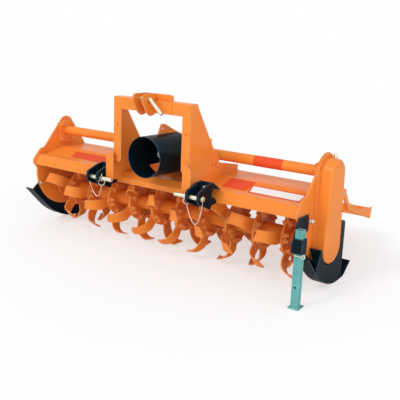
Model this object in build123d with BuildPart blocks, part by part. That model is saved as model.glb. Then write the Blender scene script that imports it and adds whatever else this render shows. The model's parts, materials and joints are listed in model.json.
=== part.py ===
"""Mounted rotary tiller, 1.8 m class, parked nose-up on its two skids and its front stand.

Millimetres. The origin is the centre of the power input stub's front face.
+X runs to the chain-case end, +Y to the rear, +Z up. The parked machine is tipped
back by a few degrees, so its own level lines slope down to the rear. All profiles
are drawn on datum planes that tip with the machine: on side_plane(x), across the
machine, the first number is the distance behind the rotor axis and the second the
height above it.
"""
import os
from math import cos, radians, sin

from build123d import *

os.makedirs("parts", exist_ok=True)

# ---- driving dimensions ------------------------------------------------------------
working_width = 1820.0      # between the inner faces of the side plates
input_from_left = 984.0     # input shaft, from the left side plate's inner face
input_setback = 250.0       # rotor axis, behind the input stub's front face
axis_height = 355.0         # cross tube and input shaft above the rotor axis
parking_pitch = 5.5         # degrees, nose up
rotor_height = 234.0        # rotor axis above the floor
rotor_radius = 231.0        # blade tips
plate_thickness = 10.0      # side plates
running_gap = 0.05          # round shafts and pins

left_inner = -input_from_left
right_inner = left_inner + working_width
left_outer = left_inner - plate_thickness
right_outer = right_inner + plate_thickness

# ---- datum planes ----------------------------------------------------------------------
machine = Plane(
    origin=(0, 0, 0),
    x_dir=(1, 0, 0),
    z_dir=(0, sin(radians(parking_pitch)), cos(radians(parking_pitch))),
)
machine_rearward = Axis(origin=(0, 0, 0), direction=machine.y_dir)
rotor_centre = machine.from_local_coords((0, input_setback, -axis_height))
floor_up = rotor_centre.Z - rotor_height


def machine_point(x, behind, up):
    """The point at x, this far behind and above the rotor axis."""
    return machine.from_local_coords((x, input_setback + behind, up - axis_height))


def side_plane(x):
    """The plane across the machine at x, with its origin on the rotor axis."""
    return Plane(origin=machine_point(x, 0, 0), x_dir=machine.y_dir, z_dir=(1, 0, 0))


def front_plane(behind):
    """The plane facing forward, its origin on the input axis, this far behind the rotor axis."""
    return Plane(origin=machine_point(0, behind, axis_height), x_dir=(1, 0, 0), z_dir=-machine.y_dir)


def level_plane(x, behind, up):
    """The plane square to the machine's height, at this point."""
    return Plane(origin=machine_point(x, behind, up), x_dir=(1, 0, 0), z_dir=machine.z_dir)


def floor_side_plane(x):
    """The upright plane at x with its origin on the floor, under the rotor axis."""
    return Plane(origin=(x, rotor_centre.Y, floor_up), x_dir=(0, 1, 0), z_dir=(1, 0, 0))


def write(piece, name):
    """Label a finished piece and write its STEP file."""
    piece.part.label = name
    export_step(piece.part, f"parts/{name}.step")


# ---- front rail and hood: shapes shared by what stands on them -----------------------------
rail_front = -252.0          # front face of the front rail
rail_depth = 48.0
rail_top = 222.0
rail_bottom = 163.0
rail_bevel = 31.0            # the rail's sloped upper front corner
rail_wall = 5.0
box_radius = 84.0            # gearbox's round top and bottom
box_above_hood = 14.0
hood_thickness = 4.0
hood_fold_radius = 20.0
hood_rise_from = -166.0      # where the hood starts to rise behind the rail
hood_crest_from = -45.0
hood_crest_to = 145.0
hood_rear = 230.0
hood_rear_drop = 33.0        # rear edge below the crest
hood_crest = axis_height - box_radius - box_above_hood
rail_back = rail_front + rail_depth

rail_outline = [
    (rail_front, rail_bottom),
    (rail_front, rail_top - rail_bevel),
    (rail_front + rail_bevel, rail_top),
    (rail_back, rail_top),
    (rail_back, rail_bottom),
]
hood_path = [
    (rail_back, rail_top),
    (hood_rise_from, rail_top),
    (hood_crest_from, hood_crest),
    (hood_crest_to, hood_crest),
    (hood_rear, hood_crest - hood_rear_drop),
]

with BuildPart() as front_rail:
    with BuildSketch(side_plane(left_inner)):
        with BuildLine():
            Polyline(*rail_outline, close=True)
        make_face()
        offset(amount=-rail_wall, kind=Kind.INTERSECTION, mode=Mode.SUBTRACT)
    extrude(amount=working_width)
write(front_rail, "front_rail")

with BuildPart() as hood:
    with BuildSketch(side_plane(left_inner)):
        with BuildLine():
            FilletPolyline(*hood_path, radius=hood_fold_radius)
            offset(amount=hood_thickness, side=Side.RIGHT)
        make_face()
    extrude(amount=working_width)
write(hood, "hood")

# What stands on the rail and the hood is cut off along their top surface.
with BuildSketch(mode=Mode.PRIVATE) as under_hood:
    with BuildLine():
        top_line = FilletPolyline(
            (rail_front, rail_bottom),
            rail_outline[1],
            rail_outline[2],
            *hood_path[1:],
            radius=[0, 0, hood_fold_radius, hood_fold_radius, hood_fold_radius],
        )
        Polyline(top_line @ 1, (hood_rear, rail_bottom), (rail_front, rail_bottom))
    make_face()

# ---- side plates ---------------------------------------------------------------------
plate_round = 240.0          # radius of the plate's round lower part
plate_round_behind = 4.0     # its centre
plate_round_up = 115.0
round_top = 150.0            # the round part ends here
hinge_behind = 258.0         # tailboard hinge rod
hinge_up = 206.0
hinge_rod_radius = 8.0
hinge_ear_radius = 24.0
rotor_seat_radius = 45.0     # opening round the rotor's journal

# The plate above its round part, from the nose below the rail over the peak to the
# rear: (behind, up, corner radius)
plate_outline = [
    (-234, round_top - 12, 0),
    (-262, 170, 12),
    (-264, 192, 12),
    (-206, 256, 14),
    (-174, 261, 14),
    (12, axis_height + 121, 54),
    (154, 278, 30),
    (243, round_top - 12, 0),
]


def side_plate(x_start, name):
    """An A-shaped plate over a round lower part, with a nose at the rail and a hinge ear."""
    with BuildPart() as plate:
        with BuildSketch(side_plane(x_start)):
            with BuildLine():
                edge = FilletPolyline(
                    *[(behind, up) for behind, up, radius in plate_outline],
                    radius=[radius for behind, up, radius in plate_outline[1:-1]],
                )
                Line(edge @ 1, edge @ 0)
            make_face()
            with BuildSketch(mode=Mode.PRIVATE) as round_part:
                with Locations((plate_round_behind, plate_round_up)):
                    Circle(plate_round)
                with Locations((0, round_top)):
                    Rectangle(3 * plate_round, plate_round, align=(Align.CENTER, Align.MIN), mode=Mode.SUBTRACT)
            add(round_part.sketch)
            with BuildSketch(mode=Mode.PRIVATE) as ear:
                with Locations(
                    (hinge_behind, hinge_up),
                    (hinge_behind - 3 * hinge_ear_radius, hinge_up - hinge_ear_radius),
                ):
                    Circle(hinge_ear_radius)
                make_hull()
            add(ear.sketch)
            with Locations((hinge_behind, hinge_up)):
                Circle(hinge_rod_radius, mode=Mode.SUBTRACT)
            Circle(rotor_seat_radius, mode=Mode.SUBTRACT)
        extrude(amount=plate_thickness)
    write(plate, name)


side_plate(left_outer, "side_plate_left")
side_plate(right_inner, "side_plate_right")

# ---- cross tubes and gearbox ----------------------------------------------------------------
tube_radius = 28.0
tube_wall = 5.0
tube_flange_width = 116.0
tube_flange_height = 140.0
tube_flange_drop = 5.0       # flange's middle below the tube's axis
tube_flange_thickness = 12.0
tube_flange_corner = 34.0
head_half = 257.0            # outer faces of the headstock's cheeks, from the input axis
box_width = 190.0
box_front = -110.0           # gearbox's machined front face
box_rear = 95.0
boss_radius = 58.0
boss_front = -178.0
shaft_seat_radius = 27.0


def cross_tube(x_plate, side, name):
    """A round tube from a side plate's flange to the gearbox."""
    length = abs(x_plate) - box_width / 2
    with BuildPart() as tube:
        with BuildSketch(side_plane(x_plate)) as flange:
            with Locations((0, axis_height - tube_flange_drop)):
                Rectangle(tube_flange_width, tube_flange_height)
            chamfer(flange.vertices().group_by(Axis.Y)[-1], tube_flange_corner)
        extrude(amount=-side * tube_flange_thickness)
        with BuildSketch(side_plane(x_plate)):
            with Locations((0, axis_height)):
                Circle(tube_radius)
        extrude(amount=-side * length)
        with BuildSketch(side_plane(x_plate)):
            with Locations((0, axis_height)):
                Circle(tube_radius - tube_wall)
        extrude(amount=-side * length, mode=Mode.SUBTRACT)
    write(tube, name)


cross_tube(left_inner, -1, "cross_tube_left")
cross_tube(right_inner, 1, "cross_tube_right")

with BuildPart() as gearbox:
    with BuildSketch(side_plane(-box_width / 2)):
        with Locations((0, axis_height)):
            Circle(box_radius)
        with Locations(((box_front + box_rear) / 2, axis_height)):
            Rectangle(box_rear - box_front, 1.5 * box_radius)
    extrude(amount=box_width)
    with BuildSketch(front_plane(box_front)):
        Circle(boss_radius)
    extrude(amount=box_front - boss_front)
    with BuildSketch(front_plane(boss_front)):
        Circle(shaft_seat_radius)
    extrude(amount=boss_front - box_front, mode=Mode.SUBTRACT)
write(gearbox, "gearbox")

# ---- input shaft: six-spline stub ---------------------------------------------------------------
stub_radius = 17.45          # 1 3/8 inch, six splines
stub_root = 14.9
spline_count = 6
spline_width = 8.6
stub_length = 76.0
shaft_end = 2.0              # shaft's inner end short of the seat's bottom

with BuildPart() as input_shaft:
    with BuildSketch(front_plane(-input_setback)):
        Circle(stub_root)
        with PolarLocations(0, spline_count):
            Rectangle(stub_radius, spline_width, align=(Align.MIN, Align.CENTER))
        with BuildSketch(mode=Mode.PRIVATE) as rim:
            Circle(stub_radius)
        add(rim.sketch, mode=Mode.INTERSECT)
    extrude(amount=-stub_length)
    with BuildSketch(front_plane(stub_length - input_setback)):
        Circle(shaft_seat_radius - running_gap)
    extrude(amount=stub_length + shaft_end - input_setback - box_front)
write(input_shaft, "input_shaft")

# ---- guard over the input shaft ---------------------------------------------------------------------
guard_radius = 109.0
guard_wall = 3.0
guard_front = -376.0
window_front = 144.0         # hand window low in the guard's wall, behind its front edge
window_length = 106.0
window_width = 108.0
window_corner = 8.0
window_turn = -111.0         # degrees round the guard from +X

with BuildPart() as guard:
    with BuildSketch(front_plane(box_front)):
        Circle(guard_radius)
        Circle(guard_radius - guard_wall, mode=Mode.SUBTRACT)
    extrude(amount=box_front - guard_front)
    with BuildSketch(front_plane(box_front)):
        Circle(guard_radius)
        Circle(boss_radius, mode=Mode.SUBTRACT)
    extrude(amount=guard_wall)
    window_middle = machine_point(0, guard_front + window_front + window_length / 2, axis_height)
    window_out = machine.from_local_coords(
        (cos(radians(window_turn)), 0, sin(radians(window_turn)))
    )
    with BuildSketch(Plane(origin=window_middle, x_dir=machine.y_dir, z_dir=window_out)):
        RectangleRounded(window_length, window_width, window_corner)
    extrude(amount=2 * guard_radius, mode=Mode.SUBTRACT)
write(guard, "shaft_guard")

# ---- lifting lug over the guard --------------------------------------------------------------------------
lug_thickness = 10.0
lug_hole_radius = 9.0
lug_height = 53.0            # above the guard
lug_hole_drop = 24.0
lug_front = -265.0
lug_peak_from = -238.0
lug_peak_to = -214.0
lug_rear = box_front - 15.0  # foot of the lug's sloping back
lug_clearance = 0.3          # over the guard's round wall
lug_seat = axis_height + guard_radius + lug_clearance
lug_leg = 60.0               # the lug's leg on the gearbox

with BuildPart() as lift_lug:
    with BuildSketch(side_plane(-lug_thickness / 2)):
        with BuildLine():
            FilletPolyline(
                (lug_front, lug_seat),
                (lug_peak_from, lug_seat + lug_height),
                (lug_peak_to, lug_seat + lug_height),
                (lug_rear, lug_seat + lug_clearance + 11),
                (box_front + lug_leg, axis_height + box_radius + 8),
                (box_front + lug_leg, axis_height + 0.5 * box_radius),
                (box_front, axis_height + 0.5 * box_radius),
                (box_front, lug_seat),
                radius=[12, 12, 0, 0, 0, 0],
            )
            Line((box_front, lug_seat), (lug_front, lug_seat))
        make_face()
        with Locations(((lug_peak_from + lug_peak_to) / 2, lug_seat + lug_height - lug_hole_drop)):
            Circle(lug_hole_radius, mode=Mode.SUBTRACT)
        with Locations((0, axis_height)):
            Circle(box_radius, mode=Mode.SUBTRACT)
        with Locations(((box_front + box_rear) / 2, axis_height)):
            Rectangle(box_rear - box_front, 1.5 * box_radius, mode=Mode.SUBTRACT)
    extrude(amount=lug_thickness)
write(lift_lug, "lifting_lug")

# ---- headstock --------------------------------------------------------------------------------------------
head_front = -327.0
head_top = 648.0
head_opening_top = 584.0
head_depth_top = 56.0
head_plate = 8.0
post_width = 52.0
post_foot = 296.0            # rounded lower ends of the posts
post_corner = 20.0
crease_up = axis_height - 17  # where the cheek starts to flare out to the hood
skirt_out = 31.0             # outboard reach of the skirt's foot
lug_plate_front = -354.0     # front flange of each skirt
lug_plate_top = crease_up + 12
lug_plate_bottom = 186.0
lug_plate_corner = 24.0
cheek_rear_shoulder = (-113.0, axis_height + 44)
cheek_rear_knee = (-60.0, axis_height)
skirt_rear_out = 1.0         # the flare has almost run out at its rear end
gusset_top_front = axis_height - tube_radius
gusset_top_rear = hood_crest + 34
gusset_rear = 128.0          # the cheek runs on under the tube to here, along the hood

with BuildPart() as portal:
    with BuildSketch(front_plane(head_front + head_plate)) as arch:
        with Locations((0, (head_top + post_foot) / 2 - axis_height)):
            Rectangle(2 * head_half, head_top - post_foot)
        with Locations((0, (head_opening_top + post_foot) / 2 - axis_height)):
            Rectangle(2 * (head_half - post_width), head_opening_top - post_foot, mode=Mode.SUBTRACT)
        fillet(arch.vertices().group_by(Axis.Y)[0], post_corner)
    extrude(amount=head_plate)
    with BuildSketch(level_plane(0, head_front, head_top - head_plate)):
        Rectangle(2 * head_half, head_depth_top, align=(Align.CENTER, Align.MIN))
    extrude(amount=head_plate)
write(portal, "headstock_portal")


def cheek(side, name):
    """A headstock cheek: tall raked plate, flared skirt down to the hood, and its front flange."""
    with BuildPart() as plate:
        with BuildSketch(side_plane(side * head_half)):
            with BuildLine():
                Polyline(
                    (head_front + head_plate, head_top - head_plate),
                    (head_front + head_depth_top, head_top - head_plate),
                    cheek_rear_shoulder,
                    cheek_rear_knee,
                    (cheek_rear_knee[0], crease_up),
                    (head_front + head_plate, crease_up),
                    close=True,
                )
            make_face()
            with BuildLine():
                Polyline(
                    (cheek_rear_knee[0], gusset_top_front),
                    (gusset_rear, gusset_top_rear),
                    (gusset_rear, rail_top),
                    (cheek_rear_knee[0], rail_top),
                    close=True,
                )
            make_face()
        extrude(amount=-side * head_plate)
        for behind, out in ((lug_plate_front, skirt_out), (cheek_rear_knee[0], skirt_rear_out)):
            with BuildSketch(front_plane(behind)):
                with BuildLine():
                    Polyline(
                        (side * (head_half - head_plate), crease_up - axis_height),
                        (side * head_half, crease_up - axis_height),
                        (side * (head_half + out), rail_top - axis_height),
                        (side * (head_half + out), lug_plate_bottom - axis_height),
                        (side * (head_half + out - head_plate), lug_plate_bottom - axis_height),
                        (side * (head_half + out - head_plate), rail_top - axis_height),
                        close=True,
                    )
                make_face()
        loft(ruled=True)
        with BuildSketch(front_plane(lug_plate_front + head_plate)) as flange:
            with Locations((side * (head_half + skirt_out), lug_plate_bottom - axis_height)):
                Rectangle(
                    post_width,
                    lug_plate_top - lug_plate_bottom,
                    align=(Align.MAX if side > 0 else Align.MIN, Align.MIN),
                )
            chamfer(flange.vertices().group_by(Axis.Y)[-1].sort_by(Axis.X)[-1 if side > 0 else 0], skirt_out)
            fillet(flange.vertices().group_by(Axis.Y)[0], lug_plate_corner)
        extrude(amount=head_plate)
        with BuildSketch(front_plane(head_front + head_plate)):
            with Locations((side * head_half / 2, (head_top + post_foot) / 2 - axis_height)):
                Rectangle(head_half, head_top - post_foot)
        extrude(amount=head_plate, mode=Mode.SUBTRACT)
        with BuildSketch(side_plane(0)):
            add(under_hood.sketch)
            with Locations((rail_front, rail_bottom)):
                Rectangle(2 * rail_depth, rail_depth, align=(Align.MIN, Align.MAX))
        extrude(amount=side * 2 * head_half, mode=Mode.SUBTRACT)
    write(plate, name)


cheek(-1, "headstock_cheek_left")
cheek(1, "headstock_cheek_right")

# ---- top-link bracket and its pin --------------------------------------------------------------------------
ear_gap = 52.0
ear_thickness = 9.0
ear_centre = -16.0           # middle of the pair of ears, from the input axis
ear_above_head = 34.0
back_plate_right = 127.0     # from the input axis
back_plate_behind = 18.0     # front face, behind the headstock's front
back_plate_thickness = 8.0
back_plate_corner = 14.0
top_pin_behind = -370.0
top_pin_up = 657.0
top_pin_radius = 9.5
ear_top = head_top + ear_above_head
ear_left = ear_centre - ear_gap / 2 - ear_thickness

# Each ear hooks down in front of the headstock: (behind, up, corner radius)
ear_outline = [
    (head_front + back_plate_behind, head_top, 0),
    (head_front + back_plate_behind, ear_top, 0),
    (-417, ear_top, 26),
    (-417, 648, 20),
    (-378, 586, 20),
    (-350, 568, 14),
    (head_front + head_plate, 576, 0),
    (head_front + head_plate, head_opening_top, 0),
    (head_front, head_opening_top, 0),
    (head_front, head_top, 0),
]

with BuildPart() as back_plate:
    with BuildSketch(level_plane(ear_left, head_front + back_plate_behind, head_top)):
        Rectangle(back_plate_right - ear_left, back_plate_thickness, align=(Align.MIN, Align.MIN))
    extrude(amount=ear_above_head)
    fillet(back_plate.edges().filter_by(machine_rearward).group_by(Axis.Z)[-1], back_plate_corner)
write(back_plate, "toplink_back_plate")

for side, name in ((-1, "toplink_ear_left"), (1, "toplink_ear_right")):
    with BuildPart() as ear_plate:
        with BuildSketch(side_plane(ear_centre + side * ear_gap / 2)):
            with BuildLine():
                edge = FilletPolyline(
                    *[(behind, up) for behind, up, radius in ear_outline],
                    radius=[radius for behind, up, radius in ear_outline[1:-1]],
                )
                Line(edge @ 1, edge @ 0)
            make_face()
            with Locations((top_pin_behind, top_pin_up)):
                Circle(top_pin_radius + running_gap, mode=Mode.SUBTRACT)
        extrude(amount=side * ear_thickness)
    write(ear_plate, name)

handle_drop = 41.0           # degrees below level
handle_length = 106.0
pin_overhang = 8.0           # past the ears
pin_end = ear_gap / 2 + ear_thickness + pin_overhang

with BuildPart() as top_pin:
    with BuildLine(front_plane(top_pin_behind)) as pin_path:
        Polyline(
            (ear_centre - pin_end, top_pin_up - axis_height),
            (ear_centre + pin_end, top_pin_up - axis_height),
            (
                ear_centre + pin_end + handle_length * cos(radians(handle_drop)),
                top_pin_up - axis_height - handle_length * sin(radians(handle_drop)),
            ),
        )
    with BuildSketch(Plane(origin=machine_point(ear_centre - pin_end, top_pin_behind, top_pin_up),
                           z_dir=(1, 0, 0))):
        Circle(top_pin_radius)
    sweep(transition=Transition.RIGHT)
write(top_pin, "toplink_pin")

# ---- lower hitch clevises and pins ---------------------------------------------------------------------------
# Each clevis is a pair of notched plates joined by a folded strap; it clasps the rail.
hitch_pin_behind = -384.0
hitch_pin_up = 202.0
hitch_pin_radius = 11.0
clevis_plate = 11.0
clevis_gap = 59.0
clevis_clearance = 12.0      # between the skirt's foot and the inner plate
clevis_inner = head_half + skirt_out + clevis_clearance
clevis_strap = 7.0
pin_free_length = 83.0       # of each pin, inboard of its clevis
pin_head_length = 15.0
pin_free_end = clevis_inner - pin_free_length
pin_head = clevis_inner + 2 * clevis_plate + clevis_gap + pin_head_length

# One plate, from the top over the nose to the notch round the rail: (behind, up, corner radius)
clevis_outline = [
    (-286, 270, 0),
    (-330, 263, 30),
    (-411, 233, 26),
    (-411, 180, 26),
    (-302, 133, 4),
    (-294, 153, 0),
    (rail_front + 4, rail_bottom - 4, 0),
    (rail_front + 4, rail_bottom + 4, 0),
    (-302, 202, 0),
    (-286, 238, 0),
    (-286, 270, 0),
]
# The strap's front surface, from the rail's top edge to its lower corner
strap_path = [
    (rail_front + 0.9 * rail_bevel, rail_top + 8),
    (-286, 270),
    (-292, 236),
    (-308, 201),
    (rail_front, rail_bottom + 2),
]

for side, name in ((-1, "left"), (1, "right")):
    with BuildPart() as clevis:
        for offset_in in (clevis_inner, clevis_inner + clevis_plate + clevis_gap):
            with BuildSketch(side_plane(side * offset_in)):
                with BuildLine():
                    edge = FilletPolyline(
                        *[(behind, up) for behind, up, radius in clevis_outline[:-1]],
                        radius=[radius for behind, up, radius in clevis_outline[1:-2]],
                    )
                    Line(edge @ 1, edge @ 0)
                make_face()
                with Locations((hitch_pin_behind, hitch_pin_up)):
                    Circle(hitch_pin_radius + running_gap, mode=Mode.SUBTRACT)
            extrude(amount=side * clevis_plate)
        with BuildSketch(side_plane(side * clevis_inner)):
            with BuildLine():
                Polyline(*strap_path)
                offset(amount=clevis_strap, side=Side.LEFT)
            make_face()
        extrude(amount=side * (clevis_gap + 2 * clevis_plate))
        with BuildSketch(side_plane(0)):
            with BuildLine():
                Polyline(*rail_outline, close=True)
            make_face()
        extrude(amount=side * pin_head, mode=Mode.SUBTRACT)
    write(clevis, f"hitch_clevis_{name}")

    with BuildPart() as hitch_pin:
        with BuildSketch(Plane(
            origin=machine_point(side * pin_free_end, hitch_pin_behind, hitch_pin_up),
            z_dir=(side, 0, 0),
        )):
            Circle(hitch_pin_radius)
        extrude(amount=pin_head - pin_free_end)
    write(hitch_pin, f"hitch_pin_{name}")

# ---- chain case -----------------------------------------------------------------------------------------------------
case_depth = 75.0
case_radius_top = 72.0
case_radius_foot = 88.0
case_foot_drop = 12.0        # centre of the case's round foot, below the rotor axis
case_edge = 8.0
case_plate = 10.0            # backing plate between case and side plate
case_plate_margin = 22.0

with BuildPart() as case_back:
    with BuildSketch(side_plane(right_outer)):
        with Locations((0, axis_height)):
            Circle(case_radius_top + case_plate_margin)
        with Locations((0, -case_foot_drop)):
            Circle(case_radius_foot)
        make_hull()
        Circle(rotor_seat_radius, mode=Mode.SUBTRACT)
    extrude(amount=case_plate)
write(case_back, "chain_case_back")

with BuildPart() as chain_case:
    with BuildSketch(side_plane(right_outer + case_plate)):
        with Locations((0, axis_height)):
            Circle(case_radius_top)
        with Locations((0, -case_foot_drop)):
            Circle(case_radius_foot)
        make_hull()
    extrude(amount=case_depth - case_plate)
    chamfer(chain_case.faces().sort_by(Axis.X)[-1].edges(), case_edge)
write(chain_case, "chain_case")

plug_radius = 11.0
plug_height = 22.0
plug_behind = 20.0
plug_out = 40.0              # plug's axis outboard of the side plate
with BuildPart() as filler:
    with BuildSketch(level_plane(right_outer + plug_out, plug_behind, axis_height)):
        Circle(plug_radius)
    extrude(amount=case_radius_top + plug_height)
    with BuildSketch(side_plane(right_outer)):
        with Locations((0, axis_height)):
            Circle(case_radius_top)
    extrude(amount=case_depth, mode=Mode.SUBTRACT)
write(filler, "filler_plug")

# ---- skids ----------------------------------------------------------------------------------------------------------------
# Each skid is a shoe outboard of its side plate: an inner flange bolted to the plate, a
# bent runner, a web across it, and an outer wall round the foot of the chain case.
skid_sheet = 6.0
skid_depth = 65.0            # from the side plate to the shoe's outer face
flange_radius = 212.0        # inner flange's edge, about the centre of the plate's round part
case_clearance = 8.0         # between the shoe and the chain case's foot

# Runner's outer surface, from its front end to its tail: (along the floor, up, corner radius)
runner_outline = [
    (-267, 262, 0),
    (-130, 88, 400),
    (10, 0, 300),
    (160, 0, 40),
    (243, 56, 0),
]
wall_front_top = (-101.0, rotor_height - 2)
wall_front_foot = (-149.0, 146.0)
wall_rear = 100.0            # the outer wall stops here, and the strap stands behind it
flange_tail_top = (206.0, 96.0)
flange_front_top = (-190.0, 312.0)

# What the round part of a side plate and the chain case's foot look like from the floor
pitch_sin = sin(radians(parking_pitch))
pitch_cos = cos(radians(parking_pitch))
round_centre = (
    plate_round_behind * pitch_cos + plate_round_up * pitch_sin,
    rotor_height + plate_round_up * pitch_cos - plate_round_behind * pitch_sin,
)
foot_centre = (-case_foot_drop * pitch_sin, rotor_height - case_foot_drop * pitch_cos)


# The web is a triangle, from the shoe's inner flange at its top to the outer wall's foot.
web_top = floor_side_plane(0).from_local_coords(wall_front_top)
web_foot = floor_side_plane(0).from_local_coords(wall_front_foot)
web_length = (web_top - web_foot).length
web_normal = (web_foot - web_top).cross(Vector(1, 0, 0))


def runner_curve():
    """The runner's outer surface as one curve."""
    return FilletPolyline(
        *[(along, up) for along, up, radius in runner_outline],
        radius=[radius for along, up, radius in runner_outline[1:-1]],
    )


def skid(side, x_face, front_limit, name):
    """A skid on the side plate's outer face, cut off square ahead of front_limit."""
    with BuildPart() as shoe:
        with BuildSketch(floor_side_plane(x_face)):
            with BuildLine():
                runner_curve()
                offset(amount=skid_sheet, side=Side.LEFT)
            make_face()
        extrude(amount=side * skid_depth)
        with BuildSketch(floor_side_plane(x_face)):
            with BuildLine():
                curve = runner_curve()
                Polyline(curve @ 1, flange_tail_top, round_centre, flange_front_top, curve @ 0)
            make_face()
            with Locations(round_centre):
                Circle(flange_radius, mode=Mode.SUBTRACT)
            with Locations(foot_centre):
                Circle(case_radius_foot + case_clearance, mode=Mode.SUBTRACT)
        extrude(amount=side * skid_sheet)
        with BuildSketch(floor_side_plane(x_face + side * (skid_depth - skid_sheet))):
            with BuildLine():
                curve = runner_curve()
                Polyline(curve @ 1, flange_tail_top, foot_centre, wall_front_top, wall_front_foot,
                         (wall_front_foot[0], 500), (-400, 500), curve @ 0)
            make_face()
            with BuildSketch(mode=Mode.PRIVATE) as ahead:
                with BuildLine():
                    Polyline(wall_front_top, wall_front_foot, (-160, 0), (-500, 0), (-500, 600),
                             (wall_front_top[0], 600), close=True)
                make_face()
            add(ahead.sketch, mode=Mode.SUBTRACT)
            with Locations(foot_centre):
                Circle(case_radius_foot + case_clearance, mode=Mode.SUBTRACT)
            with Locations((wall_rear, 0)):
                Rectangle(3 * plate_round, 3 * plate_round, align=(Align.MIN, Align.CENTER), mode=Mode.SUBTRACT)
        extrude(amount=side * skid_sheet)
        with BuildSketch(Plane(origin=web_top + Vector(x_face, 0, 0), x_dir=(1, 0, 0), z_dir=web_normal)):
            Polygon(
                (0, 0),
                (side * skid_depth, 0),
                (side * skid_depth, -web_length),
                (side * (skid_depth - skid_sheet), -web_length),
                align=None,
            )
        extrude(amount=skid_sheet)
        with BuildSketch(side_plane(x_face)):
            with Locations((front_limit, 0)):
                Rectangle(400, 800, align=(Align.MAX, Align.CENTER))
        extrude(amount=side * skid_depth, mode=Mode.SUBTRACT)
    write(shoe, name)
    return shoe.part


leg_behind = -276.0          # parking stand's leg
socket_width = 48.0
foot_size = 58.0
skid_leg_gap = 8.0           # between the raised foot and the skid

left_shoe = skid(-1, left_outer, -400, "skid_left")
right_shoe = skid(1, right_outer, leg_behind + foot_size / 2 + skid_leg_gap, "skid_right")

# Each strap is a channel standing on the runner's tail, its back to the rear.
strap_front = 108.0
strap_rear = 164.0
strap_top = 92.0
strap_corner = 20.0
strap_sheet = 6.0
strap_seat = skid_sheet / 2  # how far above the floor its foot is drawn before the runner is cut away

for side, x_face, shoe, name in ((-1, left_outer, left_shoe, "left"), (1, right_outer, right_shoe, "right")):
    inner = x_face + side * skid_sheet
    depth = skid_depth - 2 * skid_sheet
    with BuildPart() as strap:
        with BuildSketch(side_plane(inner)) as outline:
            with BuildLine():
                Polyline(
                    (strap_front, -rotor_height),
                    (strap_front, strap_top),
                    (strap_rear, strap_top),
                    (strap_rear, -rotor_height),
                    close=True,
                )
            make_face()
            fillet(outline.vertices().group_by(Axis.Y)[-1], strap_corner)
        extrude(amount=side * depth)
        with BuildSketch(side_plane(inner + side * strap_sheet)):
            with Locations((strap_rear - strap_sheet, strap_top - strap_sheet)):
                Rectangle(2 * rotor_height, 2 * rotor_height, align=(Align.MAX, Align.MAX))
        extrude(amount=side * (depth - 2 * strap_sheet), mode=Mode.SUBTRACT)
        with BuildSketch(Plane.XY.offset(floor_up + strap_seat)):
            with Locations((x_face, 0)):
                Rectangle(4 * rotor_height, 4 * rotor_height)
        extrude(amount=-rotor_height, mode=Mode.SUBTRACT)
        add(shoe, mode=Mode.SUBTRACT)
    write(strap, f"skid_strap_{name}")

# ---- parking stand: bracket with socket, and the square leg ------------------------------------------------------
leg_width = 36.0
leg_wall = 3.0
socket_play = 0.5
bracket_plate = 8.0
socket_foot = 12.0
socket_height = 72.0
leg_top = 125.0
foot_thickness = 5.0
leg_x = right_outer + bracket_plate + socket_width / 2

# Bracket plate on the side plate: (behind, up)
bracket_outline = [
    (leg_behind - socket_width / 2, socket_foot),
    (leg_behind - socket_width / 2, 60),
    (-250, 170),
    (-156, 170),
    (-152, 92),
    (leg_behind + socket_width / 2, 36),
    (leg_behind + socket_width / 2, socket_foot),
]

with BuildPart() as stand_bracket:
    with BuildSketch(side_plane(right_outer)):
        with BuildLine():
            Polyline(*bracket_outline, close=True)
        make_face()
    extrude(amount=bracket_plate)
    with BuildSketch(level_plane(leg_x, leg_behind, socket_foot)):
        Rectangle(socket_width, socket_width)
    extrude(amount=socket_height)
    with BuildSketch(level_plane(leg_x, leg_behind, socket_foot)):
        Rectangle(leg_width + 2 * socket_play, leg_width + 2 * socket_play)
    extrude(amount=socket_height, mode=Mode.SUBTRACT)
write(stand_bracket, "stand_bracket")

foot_centre_y = machine_point(0, leg_behind, -rotor_height - leg_behind * pitch_sin).Y
with BuildPart() as stand_leg:
    with BuildSketch(level_plane(leg_x, leg_behind, leg_top)):
        Rectangle(leg_width, leg_width)
        Rectangle(leg_width - 2 * leg_wall, leg_width - 2 * leg_wall, mode=Mode.SUBTRACT)
    extrude(amount=-2 * rotor_height)
    with BuildSketch(Plane.XY.offset(floor_up + foot_thickness)):
        with Locations((leg_x, foot_centre_y)):
            Rectangle(4 * foot_size, 4 * foot_size)
    extrude(amount=-2 * rotor_height, mode=Mode.SUBTRACT)
    with BuildSketch(Plane.XY.offset(floor_up)):
        with Locations((leg_x, foot_centre_y)):
            Rectangle(foot_size, foot_size)
    extrude(amount=foot_thickness)
write(stand_leg, "stand_leg")

# ---- tailboard on its hinge rod -------------------------------------------------------------------------------------
board_thickness = 4.0
board_fold_radius = 10.0
knuckle_wall = 4.0
board_end_gap = 6.0          # between the board's arms and the side plates
arm_thickness = 8.0
arm_eye_radius = 20.0
knuckle_length = 120.0
knuckle_places = [0.06, 0.5, 0.94]
knuckle_radius = hinge_rod_radius + running_gap + knuckle_wall

# Board's lower surface behind the hinge rod, then its upturned lip
board_path = [
    (hinge_behind + knuckle_radius - 2, hinge_up - 6),
    (hinge_behind + 34, hinge_up - 88),
    (hinge_behind + 77, hinge_up - 122),
    (hinge_behind + 428, hinge_up - 217),
    (hinge_behind + 444, hinge_up - 167),
]
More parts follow.
